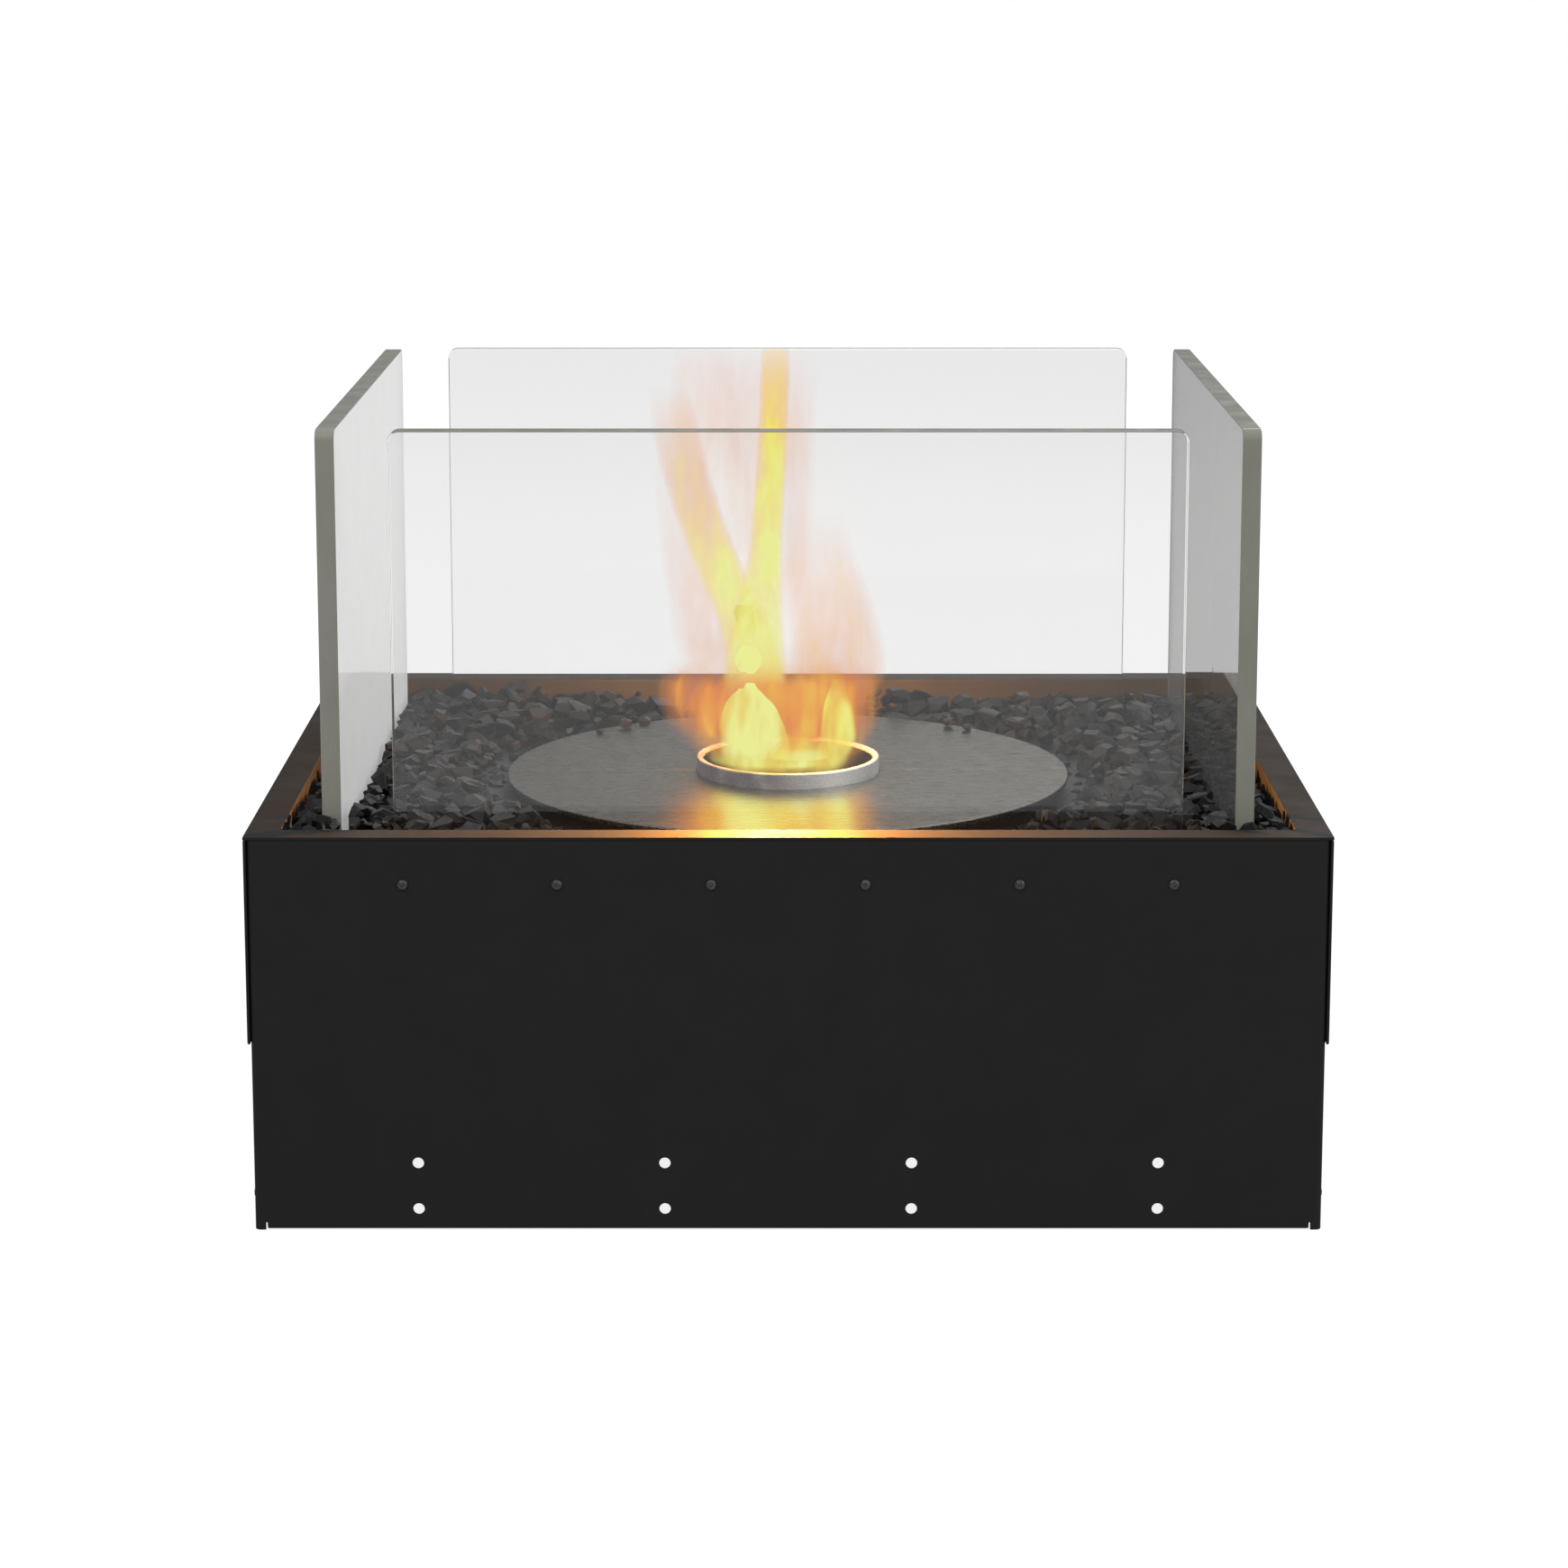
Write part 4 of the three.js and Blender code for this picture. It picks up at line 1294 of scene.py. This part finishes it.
@dataclass
class Burner:
    """The two halves of the top plate and the rolled collar round the mouth."""

    finishes: Finishes
    plate_radius: float = 0.160
    plate_inner: float = 0.0524
    collar_inner: float = 0.0503
    collar_outer: float = 0.0521
    mouth: float = 0.0485
    roll: float = 0.0009
    plate_arris: float = 0.0008

    def build(self) -> None:
        """Makes and dresses the burner."""
        steel, polished = self.finishes.plate, self.finishes.polished
        back = self.half_plate()
        front = half_turned(back, "front_half_plate")
        keep(back, "burner", steel, ["top_plate_back"])
        keep(front, "burner", steel, ["top_plate_front"])
        keep(self.collar(), "burner", polished, ["burner_collar"])

    def half_plate(self) -> bpy.types.Object:
        """The back half of the top plate, with its edges eased."""
        low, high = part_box("top_plate_back")
        bpy.ops.mesh.primitive_circle_add(
            vertices=144, radius=self.plate_radius, fill_type="NGON", location=(0, 0, low.z)
        )
        obj = settle("back_half_plate")
        with editing(obj):
            inset_all(self.plate_radius - self.plate_inner)
            limit = self.plate_inner + 10 * HAIR
            pick(Pick.FACE, lambda face: all(v.co.xy.length < limit for v in face.verts))
            bpy.ops.mesh.delete(type="FACE")
            slice_all((0, low.y, 0), (0, -1, 0), clear_outer=True)
            pick_all()
            draw_out((0, 0, high.z - low.z))
            face_outwards()
        break_edges(obj, self.plate_arris, 3)
        return obj

    def collar(self) -> bpy.types.Object:
        """The collar, with its top edge rolled over the neck."""
        low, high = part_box("burner_collar")
        cap = high.z - (self.collar_outer - self.collar_inner)
        roll = self.roll
        profile = [
            (self.collar_inner, low.z),
            (self.collar_outer, low.z),
            *arc((self.collar_outer - roll, high.z - roll), roll, 0, 90),
            *arc((self.mouth + roll, high.z - roll), roll, 90, 180),
            (self.mouth, cap),
            (self.collar_inner, cap),
        ]
        obj = turned("rolled_collar", profile, 128)
        shade(obj, 40)
        return obj


# ---------------------------------------------------------------- glass


@dataclass
class Glazing:
    """Four thick panes with rounded corners and eased, darker edges."""

    finishes: Finishes
    corner: float = 0.006
    arris: float = 0.0008

    def build(self) -> None:
        """Makes and dresses the panes."""
        for side in Side:
            pane = self.pane(side)
            pane.data.materials.append(self.finishes.glass[side])
            pane.data.materials.append(self.finishes.glass_edge)
            for face in pane.data.polygons:
                face.material_index = int(self.is_edge(side, face))
            keep(pane, f"{side.label}_screen", None, [f"{side.label}_glass"])

    @staticmethod
    def is_edge(side: Side, face: bpy.types.MeshPolygon) -> bool:
        """Whether a face is one of the dark edges: all of a side pane's, the front pane's top
        and bottom, and the back pane's bottom."""
        edge = abs(face.normal.dot(side.outward)) < SAME_WAY
        if side is Side.BACK:
            return edge and face.normal.z < -TILTED
        return edge and (side is not Side.FRONT or abs(face.normal.z) > TILTED)

    @staticmethod
    def runs(edge: Any, way: Vector) -> bool:
        """Whether an edge runs along a direction."""
        start, end = (point.co for point in edge.verts)
        return abs((start - end).normalized().dot(way)) > SAME_WAY

    def pane(self, side: Side) -> bpy.types.Object:
        """One pane.

        Args:
            side: the side that it stands at.

        Returns:
            The pane.
        """
        low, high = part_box(f"{side.label}_glass")
        obj = add_box(f"{side.label}_pane", low, high)
        out = side.outward
        with editing(obj):
            pick(Pick.EDGE, lambda edge: self.runs(edge, out))
            ease(self.corner, 8)
        break_edges(obj, self.arris, angle=30)
        return obj


# ---------------------------------------------------------------- stones


@dataclass(frozen=True)
class Heap:
    """A place where the stones lie higher or lower than the bed."""

    x: float
    y: float
    reach: float
    rise: float


@dataclass
class Stones:
    """Crushed stone in the tray: a dark fill with angular chips laid over it."""

    finishes: Finishes
    seed: int = 41
    kinds: int = 12
    cuts: int = 9
    large: tuple[float, float] = (0.0088, 0.0108)  # smallest and largest radius of a chip
    small: tuple[float, float] = (0.0042, 0.0070)
    small_spacing: float = 0.0098
    smallest: float = 0.0028
    gap: float = 0.0004  # between a chip and what stands next to it
    proud: float = 0.25  # the most of its radius that a chip stands over the bed
    darkness: float = 2.6  # over 1, so that more chips are dark than light
    ray_start: float = 0.3
    tray_half: tuple[float, float] = (0.2645, 0.207)
    plate: float = 0.160
    fill_level: float = 0.1885
    fill_share: float = 0.45  # of the bed's height over that level
    heaps: tuple[Heap, ...] = (
        Heap(-0.240, -0.188, 0.048, 0.009),
        Heap(0.240, -0.188, 0.048, 0.008),
        Heap(-0.168, 0.172, 0.024, 0.010),
        Heap(0.060, 0.174, 0.022, 0.011),
    )

    on_plate: tuple[Place, ...] = (  # place in plan and radius
        (-0.098, 0.116, 0.0052),
        (-0.086, 0.128, 0.0042),
        (0.096, 0.119, 0.0050),
        (0.107, 0.107, 0.0040),
        (-0.112, 0.100, 0.0036),
    )

    def build(self) -> None:
        """Makes the fill and lays the chips."""
        rng = random.Random(self.seed)
        self.bed = BVHTree.FromObject(
            frame["nodes"]["stone_bed"], bpy.context.evaluated_depsgraph_get()
        )
        self.panes = [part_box(f"{side.label}_glass") for side in Side]
        stone = self.finishes.stone
        keep(self.fill(), "casing", stone, ["stone_bed"])
        kinds = [self.chip(rng) for _ in range(self.kinds)]
        groups: dict[str, list[bpy.types.Object]] = {}
        for top in self.crests():
            self.lay(rng, kinds, (top.x, top.y), self.large, top.z, groups)
        for x, y in self.spread(rng, self.small_spacing):
            self.lay(rng, kinds, (x, y), self.small, self.height(x, y), groups)
        for side, chips in sorted(groups.items()):
            keep(join(chips, f"{side}_chips"), "casing", stone)
        keep(self.strays(rng, kinds), "burner", stone)
        for kind in kinds:
            bpy.data.objects.remove(kind)

    def crests(self) -> list[Vector]:
        """The tops of the bed's own stones: its points that stand above all their neighbours."""
        mesh = bmesh.new()
        mesh.from_mesh(frame["nodes"]["stone_bed"].data)
        bmesh.ops.remove_doubles(mesh, verts=mesh.verts, dist=SAME_PLACE)
        tops = [
            point.co.copy()
            for point in mesh.verts
            if point.co.z > self.fill_level
            and all(edge.other_vert(point).co.z < point.co.z - HAIR for edge in point.link_edges)
        ]
        mesh.free()
        return sorted(tops, key=lambda top: (round(top.y, 4), top.x))

    def fill(self) -> bpy.types.Object:
        """The stones below the surface: the bed with its top drawn down under the chips."""
        obj = node_copy("stone_bed", "stone_fill")
        with editing(obj):
            pick(Pick.VERT, lambda v: v.co.z > self.fill_level)
            drawn_down = (1, 1, self.fill_share)
            bpy.ops.transform.resize(value=drawn_down, center_override=(0, 0, self.fill_level))
        shade(obj, 20)
        self.tone(obj, 0.2)
        return obj

    def chip(self, rng: random.Random) -> bpy.types.Object:
        """One chip a unit in radius: a block cut by flat planes.

        Args:
            rng: the source of chance.

        Returns:
            The chip.
        """
        bpy.ops.mesh.primitive_cube_add(size=2)
        obj = settle("chip")
        with editing(obj):
            for _ in range(self.cuts):
                normal = Vector([rng.gauss(0, 1) for _ in range(3)]).normalized()
                point = normal * rng.uniform(0.55, 0.95)
                slice_all(point, normal, use_fill=True, clear_outer=True)
            pick_all()
            flat = (1.0, rng.uniform(0.65, 0.95), rng.uniform(0.5, 0.8))
            bpy.ops.transform.resize(value=flat, center_override=(0, 0, 0))
            face_outwards()
        reach = max(v.co.length for v in obj.data.vertices)
        obj.data.transform(Matrix.Scale(1 / reach, 4))
        return obj

    def spread(self, rng: random.Random, spacing: float) -> list[tuple[float, float]]:
        """Uneven places all over the tray.

        Args:
            rng: the source of chance.
            spacing: the usual distance between two places.

        Returns:
            The places in plan.
        """
        half_x, half_y = self.tray_half
        columns, rows = (math.ceil(2 * half / spacing) for half in self.tray_half)
        return [
            (
                -half_x + spacing * (i + rng.uniform(0.05, 0.95)),
                -half_y + spacing * (j + rng.uniform(0.05, 0.95)),
            )
            for j in range(rows)
            for i in range(columns)
        ]

    def clearance(self, x: float, y: float) -> float:
        """How far a place in plan is from the tray's walls, the panes and the top plate."""
        room = min(self.tray_half[0] - abs(x), self.tray_half[1] - abs(y))
        room = min(room, math.hypot(x, y) - self.plate)
        for low, high in self.panes:
            gap_x = max(low.x - x, x - high.x)
            gap_y = max(low.y - y, y - high.y)
            outside = math.hypot(max(gap_x, 0), max(gap_y, 0))
            room = min(room, outside if outside > 0 else max(gap_x, gap_y))
        return room

    def height(self, x: float, y: float) -> float | None:
        """The height of the bed at a place in plan, or None where there is no bed."""
        hit = self.bed.ray_cast(Vector((x, y, self.ray_start)), Vector((0, 0, -1)))[0]
        if hit is None or hit.z < self.fill_level - 10 * HAIR:
            return None
        return hit.z

    def lay(
        self,
        rng: random.Random,
        kinds: Sequence[bpy.types.Object],
        place: tuple[float, float],
        sizes: tuple[float, float],
        level: float | None,
        groups: dict[str, list[bpy.types.Object]],
    ) -> None:
        """Lays one chip with its top at a level, smaller where there is less room.

        Args:
            rng: the source of chance.
            kinds: the chips to choose from.
            place: its place in plan.
            sizes: the smallest and largest radius.
            level: the height of the bed there.
            groups: the chips laid so far, by side.
        """
        x, y = place
        size, kind = rng.uniform(*sizes), rng.choice(kinds)
        turn, tone, rise = self.tumble(rng), rng.random(), rng.uniform(0.0, self.proud)
        size = min(size, self.clearance(x, y) - self.gap)
        if size < self.smallest or level is None:
            return
        for heap in self.heaps:
            away = math.hypot(x - heap.x, y - heap.y) / heap.reach
            level += heap.rise * max(0.0, 1 - away * away)
        matrix = turn @ Matrix.Scale(size, 4)
        top = max((matrix @ v.co).z for v in kind.data.vertices)
        centre = Vector((x, y, level + rise * size - top))
        twin = copy_of(kind, "chip", Matrix.Translation(centre) @ matrix)
        self.tone(twin, tone**self.darkness)
        if abs(x) > self.plate:
            side = "left" if x < 0 else "right"
        else:
            side = "front" if y < 0 else "back"
        groups.setdefault(side, []).append(twin)

    @staticmethod
    def tumble(rng: random.Random, tilt: float = 0.7) -> Matrix:
        """A chance turn that leaves a chip lying rather than standing."""
        lean = Matrix.Rotation(rng.uniform(-tilt, tilt), 4, "X")
        roll = Matrix.Rotation(rng.uniform(-tilt, tilt), 4, "Y")
        return Matrix.Rotation(rng.uniform(0, FULL_TURN), 4, "Z") @ lean @ roll

    def tone(self, obj: bpy.types.Object, value: float) -> None:
        """Writes a chip's tone on its faces."""
        mesh = obj.data
        attribute = mesh.attributes.new("tone", "FLOAT", "FACE")
        attribute.data.foreach_set("value", [value] * len(mesh.polygons))

    def strays(self, rng: random.Random, kinds: Sequence[bpy.types.Object]) -> bpy.types.Object:
        """A few chips that lie on the far edge of the top plate."""
        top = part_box("top_plate_back")[1].z
        chips = []
        for x, y, size in self.on_plate:
            matrix = (
                Matrix.Translation((x, y, top + 0.0002))
                @ self.tumble(rng, 0.25)
                @ Matrix.Scale(size, 4)
            )
            twin = copy_of(rng.choice(kinds), "stray", matrix)
            lowest = min(v.co.z for v in twin.data.vertices)
            twin.data.transform(Matrix.Translation((0, 0, top + 0.0001 - lowest)))
            self.tone(twin, rng.uniform(0.2, 0.9))
            chips.append(twin)
        return join(chips, "stray_chips")


# ---------------------------------------------------------------- flame


@dataclass(frozen=True)
class Knot:
    """A place on the middle line of a tongue of flame, with its radius, cover and warmth there."""

    x: float
    y: float
    z: float
    radius: float
    cover: float
    warmth: float

    def blend(self, other: "Knot", share: float) -> "Knot":
        """The knot between this one and another.

        Args:
            other: the other knot.
            share: how far it is towards the other, from 0 to 1.

        Returns:
            The knot there.
        """
        mixed = (
            (1 - share) * getattr(self, field.name) + share * getattr(other, field.name)
            for field in fields(self)
        )
        return Knot(*mixed)


# The tongues from foot to tip: x, y, z and radius of each knot in millimetres, then its cover
# and warmth.
TONGUES: dict[str, tuple[tuple[float, ...], ...]] = {
    "sleeve": (
        (-2, 0, 198.5, 40, 0, 0.45),
        (-3, 0, 206, 47.5, 0.9, 0.5),
        (-6, 0, 214, 56, 1, 0.42),
        (-9, 0, 228, 64, 1.1, 0.36),
        (-11, 0, 242, 67, 1.2, 0.32),
        (-11, 0, 254, 66, 1.15, 0.28),
        (-10, 0, 262, 62, 0.55, 0.24),
        (-10, 0, 270, 55, 0.14, 0.2),
        (-10, 0, 290, 42, 0, 0.1),
    ),
    "foot": (
        (-6, -16, 198.5, 26, 0, 0.9),
        (-6, -17, 204, 38, 1, 0.95),
        (-6, -22, 212, 42, 0.9, 0.88),
        (-7, -26, 220, 36, 0.4, 0.7),
        (-8, -28, 232, 26, 0, 0.6),
    ),
    "column": (
        (-16, -28, 199.5, 12, 0, 1),
        (-17, -31, 208, 23, 0.85, 1),
        (-18.5, -40, 222, 21.5, 0.95, 1.05),
        (-19, -38, 246, 20.5, 1, 1.05),
        (-18.5, -26, 274, 18, 1, 1.05),
        (-15.5, -12, 300, 13, 0.95, 1.05),
        (-12.5, 0, 330, 9.8, 0.9, 0.98),
        (-9.5, 6, 376, 9.2, 0.86, 0.82),
        (-8, 9, 404, 9.2, 0.78, 0.7),
        (-7.2, 12, 424, 9.2, 0.62, 0.6),
        (-7, 14, 439.5, 8.8, 0.3, 0.55),
    ),
    "column_haze": (
        (-12, 24, 272, 14, 0, 0.15),
        (-12, 24, 300, 24, 0.2, 0.16),
        (-11, 24, 350, 28, 0.26, 0.16),
        (-10, 26, 395, 28, 0.24, 0.16),
        (-9, 28, 420, 28, 0.16, 0.12),
        (-8, 30, 439.5, 27, 0, 0.1),
    ),
    "left": (
        (-19.5, 3, 250, 10, 0, 0.9),
        (-21.5, 3, 266, 15, 0.6, 0.95),
        (-25.5, 4, 286, 16.5, 0.78, 0.95),
        (-34.5, 5, 305, 15, 0.78, 0.92),
        (-43.5, 6, 326, 15, 0.72, 0.82),
        (-51.5, 6, 348, 15, 0.6, 0.6),
        (-58.5, 7, 372, 15, 0.46, 0.44),
        (-64, 8, 396, 14.5, 0.26, 0.34),
        (-68, 8, 420, 13, 0, 0.25),
    ),
    "left_haze": (
        (-40, 16, 250, 16, 0, 0.3),
        (-43, 16, 270, 25, 0.34, 0.25),
        (-45, 17, 294, 25, 0.28, 0.2),
        (-51, 18, 322, 23, 0.2, 0.16),
        (-58, 19, 352, 19, 0.12, 0.12),
        (-63, 20, 380, 14, 0, 0.1),
    ),
    "left_wisp": (
        (-42, 30, 340, 14, 0, 0.05),
        (-45, 30, 372, 21, 0.16, 0.05),
        (-48, 30, 402, 21, 0.22, 0.05),
        (-48, 31, 425, 20, 0.16, 0.03),
        (-47, 32, 439.5, 18, 0.02, 0),
    ),
    "right": (
        (27, -4, 236, 20, 0, 0.4),
        (29, -4, 254, 29, 0.42, 0.4),
        (28, -3, 274, 29, 0.42, 0.34),
        (25, -2, 296, 26, 0.34, 0.3),
        (20, 0, 320, 22, 0.2, 0.25),
        (16, 2, 350, 16, 0, 0.2),
    ),
    "right_fold": (
        (18, -28, 199.5, 6, 0, 0.95),
        (22, -32, 208, 12, 0.95, 0.95),
        (28.5, -40, 225, 11.5, 1.05, 0.95),
        (27.5, -40, 243, 10, 0.95, 0.85),
        (24, -34, 258, 8, 0.4, 0.65),
        (22, -28, 268, 6, 0, 0.5),
    ),
    "shelf": (
        (6, -46, 214, 10, 0, 0.9),
        (6, -46, 217.5, 22, 0.55, 0.9),
        (6, -45, 223, 20, 0.5, 0.8),
        (6, -43, 230, 10, 0, 0.6),
    ),
}


@dataclass
class Flame:
    """The burning fuel: a sleeve of fire over the mouth, and tongues that rise out of it."""

    finishes: Finishes
    rows: int = 12  # rows of facets between two knots
    facets: int = 28  # round a tongue
    depth: float = 0.75  # how deep a tongue is, as a share of its width

    def build(self) -> None:
        """Makes every tongue and joins them."""
        tongues = [self.tongue(*tongue) for tongue in TONGUES.items()]
        flame = join(tongues, "flame")
        flame.visible_diffuse = False
        flame.visible_shadow = False
        keep(flame, "burner", self.finishes.flame)

    def tongue(self, name: str, rows: Sequence[Sequence[float]]) -> bpy.types.Object:
        """One tongue: a spindle spun about the Z axis, then led row by row along its middle line.

        Args:
            name: its name.
            rows: the values of its knots from foot to tip.

        Returns:
            The tongue.
        """
        knots = [
            Knot(x / MILLIMETRES, y / MILLIMETRES, z / MILLIMETRES, radius / MILLIMETRES, *skin)
            for x, y, z, radius, *skin in rows
        ]
        line = [
            lower.blend(upper, i / self.rows)
            for lower, upper in zip(knots, knots[1:])
            for i in range(self.rows)
        ] + [knots[-1]]
        line = self.smooth(line)
        profile = [(0.0, line[0].z), *((knot.radius, knot.z) for knot in line), (0.0, line[-1].z)]
        obj = turned(name, profile, self.facets, closed=False)
        with editing(obj):
            pick_all()
            bpy.ops.transform.resize(value=(1, self.depth, 1), center_override=(0, 0, 0))
            for knot in line:
                pick(Pick.VERT, lambda v: near(v.co.z, knot.z))
                bpy.ops.transform.translate(value=(knot.x, knot.y, 0))
        self.write(obj, line)
        bpy.ops.object.shade_smooth()
        return obj

    def smooth(self, line: list[Knot]) -> list[Knot]:
        """A middle line with its corners eased, its ends kept."""
        for _ in range(self.rows):
            inner = [a.blend(c, 0.5).blend(b, 0.5) for a, b, c in zip(line, line[1:], line[2:])]
            line = [line[0], *inner, line[-1]]
        return line

    @staticmethod
    def write(obj: bpy.types.Object, line: Sequence[Knot]) -> None:
        """Writes the cover and the warmth of each row on its points."""
        mesh = obj.data
        knots = [min(line, key=lambda knot: abs(knot.z - v.co.z)) for v in mesh.vertices]
        for field in ("cover", "warmth"):
            values = [getattr(knot, field) for knot in knots]
            mesh.attributes.new(field, "FLOAT", "POINT").data.foreach_set("value", values)


# ---------------------------------------------------------------- hidden parts and studio


@dataclass
class Hidden:
    """Parts that are hidden at rest: a finish for most, and smooth copies of the turned ones."""

    finishes: Finishes

    def build(self) -> None:
        """Gives each of them its finish."""
        f = self.finishes
        zinc = ["burner_well", "heat_shield", *(f"{side.label}_rail" for side in Side)]
        zinc += [name for name in frame["nodes"] if "holder" in name]
        black = ["left_side_panel", "right_side_panel"]
        for material, names in ((f.black, black), (f.zinc, zinc), (f.wool, ["absorbent_core"])):
            for name in names:
                materials = frame["nodes"][name].data.materials
                materials.clear()
                materials.append(material)
                log.info("%s dressed in %s", name, material.name)
        for part in ("tank", "deck", "neck"):
            obj = node_copy(f"burner_{part}", f"turned_{part}")
            shade(obj)
            keep(obj, "burner", f.burner, [f"burner_{part}"])


@dataclass
class Studio:
    """White floor, plain soft light, the flame's own glow and the camera."""

    floor_size: float = 14.0
    floor_gap: float = 0.0004  # keeps the floor clear of the casing's lower edges
    floor_glow: float = 0.86
    floor_through_glass: float = 0.64
    sky: float = 0.62
    sky_through_glass: float = 0.83
    mirrored_sky: float = 0.75
    mirrored_back: float = 0.30
    mirrored_floor: float = 0.42
    floor_tone: float = 0.3
    dim_left: float = 0.35  # what is left of the sky's mirror image at its far left
    left_fade: tuple[float, float] = (-0.9, 0.6)
    back_fade: tuple[float, float] = (0.0, 0.6)
    low_fade: tuple[float, float] = (0.8, 0.25)
    soft_lamps: tuple[tuple[str, Place, float, float, Colour], ...] = (  # as area() takes them
        ("key_lamp", (-1.3, -1.7, 2.3), 1.8, 26.0, (1.0, 0.985, 0.96)),
        ("fill_lamp", (1.9, -1.0, 1.5), 1.6, 11.0, (0.95, 0.975, 1.0)),
        ("rim_lamp", (0.5, 2.0, 1.9), 1.4, 12.0, (1.0, 1.0, 1.0)),
    )
    glow_power: float = 3.0
    glow_radius: float = 0.025
    shine_power: float = 25.0
    shine_radius: float = 0.045
    flame_middle: Place = (-0.004, 0, 0.255)
    flame_colour: Colour = (1.0, 0.36, 0.07)
    aim: Place = (0, 0, 0.15)
    camera_place: Place = (-0.0022, -2.2374, 0.6893)
    camera_tilt: float = 10.327  # degrees below level
    sensor_width: float = 36.0
    lens: float = 91.694
    shift: float = -0.1

    def build(self) -> None:
        """Sets up the studio."""
        self.floor()
        self.world()
        self.lamps()
        self.camera()

    def floor(self) -> None:
        """A wide white floor, seen as white and still darker where the object shades it."""
        bpy.ops.mesh.primitive_plane_add(size=self.floor_size, location=(0, 0, -self.floor_gap))
        floor = settle("floor")
        material, g, skin = new_material("studio_floor")
        path = g.rays()
        glow = g.node("ShaderNodeEmission", {"Color": rgba((1, 1, 1))})
        seen = g.math("MULTIPLY", path["Is Camera Ray"], self.floor_glow)
        through = g.math("MULTIPLY", path["Is Transmission Ray"], self.floor_through_glass)
        straight = g.math("MAXIMUM", seen, through)
        g.feed(glow, {"Strength": g.mix_number(mirror_ray(g), straight, self.mirrored_floor)})
        g.feed(skin, {
            "Base Color": rgba((self.floor_tone,) * 3),
            "Roughness": 0.9,
            "Specular IOR Level": 0.0,
        })
        both = g.node("ShaderNodeAddShader", {0: skin.outputs[0], 1: glow.outputs[0]})
        give_surface(material, g, both.outputs[0])
        floor.data.materials.append(material)

    def world(self) -> None:
        """White to the eye, a shade darker through glass, softer and dim behind in reflections."""
        world = bpy.data.worlds.new("studio")
        bpy.context.scene.world = world
        world.use_nodes = True
        g = Graph(world.node_tree)
        background = world.node_tree.nodes["Background"]
        path = g.rays()
        x, y, z = g.split(g.node("ShaderNodeTexCoord").outputs["Generated"])
        side = g.remap(x, self.left_fade, (self.dim_left, 1.0))
        behind = g.remap(y, self.back_fade, (0.0, 1.0))
        low = g.remap(z, self.low_fade, (0.0, 1.0))
        dim = g.mix_number(g.math("MULTIPLY", behind, low), self.mirrored_sky, self.mirrored_back)
        level = g.mix_number(path["Is Transmission Ray"], self.sky, self.sky_through_glass)
        level = g.mix_number(mirror_ray(g), level, g.math("MULTIPLY", side, dim))
        strength = g.mix_number(path["Is Camera Ray"], level, 1.0)
        g.feed(background, {"Strength": strength, "Color": rgba((1, 1, 1))})

    def lamps(self) -> None:
        """The soft lamps, and the flame's glow on all but the panes and its shine on the tray."""
        for lamp in self.soft_lamps:
            self.area(*lamp)
        glow = self.fire_lamp("flame_glow", self.glow_power, self.glow_radius)
        glow.visible_glossy = False
        spared = bpy.data.collections.new("spared_by_flame_glow")
        for side in Side:
            spared.objects.link(bpy.data.objects[f"{side.label}_pane"])
        for member in spared.collection_objects:
            member.light_linking.link_state = "EXCLUDE"
        glow.light_linking.receiver_collection = spared
        shine = self.fire_lamp("flame_shine", self.shine_power, self.shine_radius)
        shine.visible_diffuse = False
        lit = bpy.data.collections.new("lit_by_flame_shine")
        lit.objects.link(bpy.data.objects["stone_tray"])
        shine.light_linking.receiver_collection = lit

    def fire_lamp(self, name: str, power: float, radius: float) -> bpy.types.Object:
        """A lamp in the middle of the flame.

        Args:
            name: the lamp's name.
            power: its power in watts.
            radius: its radius.

        Returns:
            The lamp.
        """
        bpy.ops.object.light_add(type="POINT", radius=radius, location=self.flame_middle)
        lamp = bpy.context.object
        lamp.name = name
        lamp.data.energy = power
        lamp.data.color = self.flame_colour
        lamp.parent = frame["bodies"]["burner"]
        return lamp

    def area(self, name: str, place: Place, size: float, power: float, colour: Colour) -> None:
        """A square lamp that looks at the fireplace.

        Args:
            name: the lamp's name.
            place: where it hangs.
            size: the length of its side.
            power: its power in watts.
            colour: its colour.
        """
        aim = Vector(self.aim) - Vector(place)
        bpy.ops.object.light_add(
            type="AREA", location=place, rotation=aim.to_track_quat("-Z", "Y").to_euler()
        )
        lamp = bpy.context.object
        lamp.name = name
        lamp.data.size = size
        lamp.data.energy = power
        lamp.data.color = colour

    def camera(self) -> None:
        """The camera at the photograph's place and angle."""
        tilt = math.radians(90 - self.camera_tilt)
        bpy.ops.object.camera_add(location=self.camera_place, rotation=(tilt, 0, 0))
        camera = bpy.context.object
        camera.name = "view_camera"
        camera.data.sensor_width = self.sensor_width
        camera.data.lens = self.lens
        camera.data.shift_y = self.shift
        bpy.context.scene.camera = camera


def main() -> None:
    """Builds the fireplace and its studio."""
    logging.basicConfig(level=logging.INFO, format="%(name)s %(message)s")
    bpy.context.scene.view_settings.view_transform = "Standard"
    finishes = Finishes(Effects())
    for part in (
        Casing(finishes),
        Screws(finishes),
        Burner(finishes),
        Glazing(finishes),
        Stones(finishes),
        Flame(finishes),
        Hidden(finishes),
        Studio(),
    ):
        part.build()
        log.info("%s done", type(part).__name__)


if __name__ == "__main__":
    main()
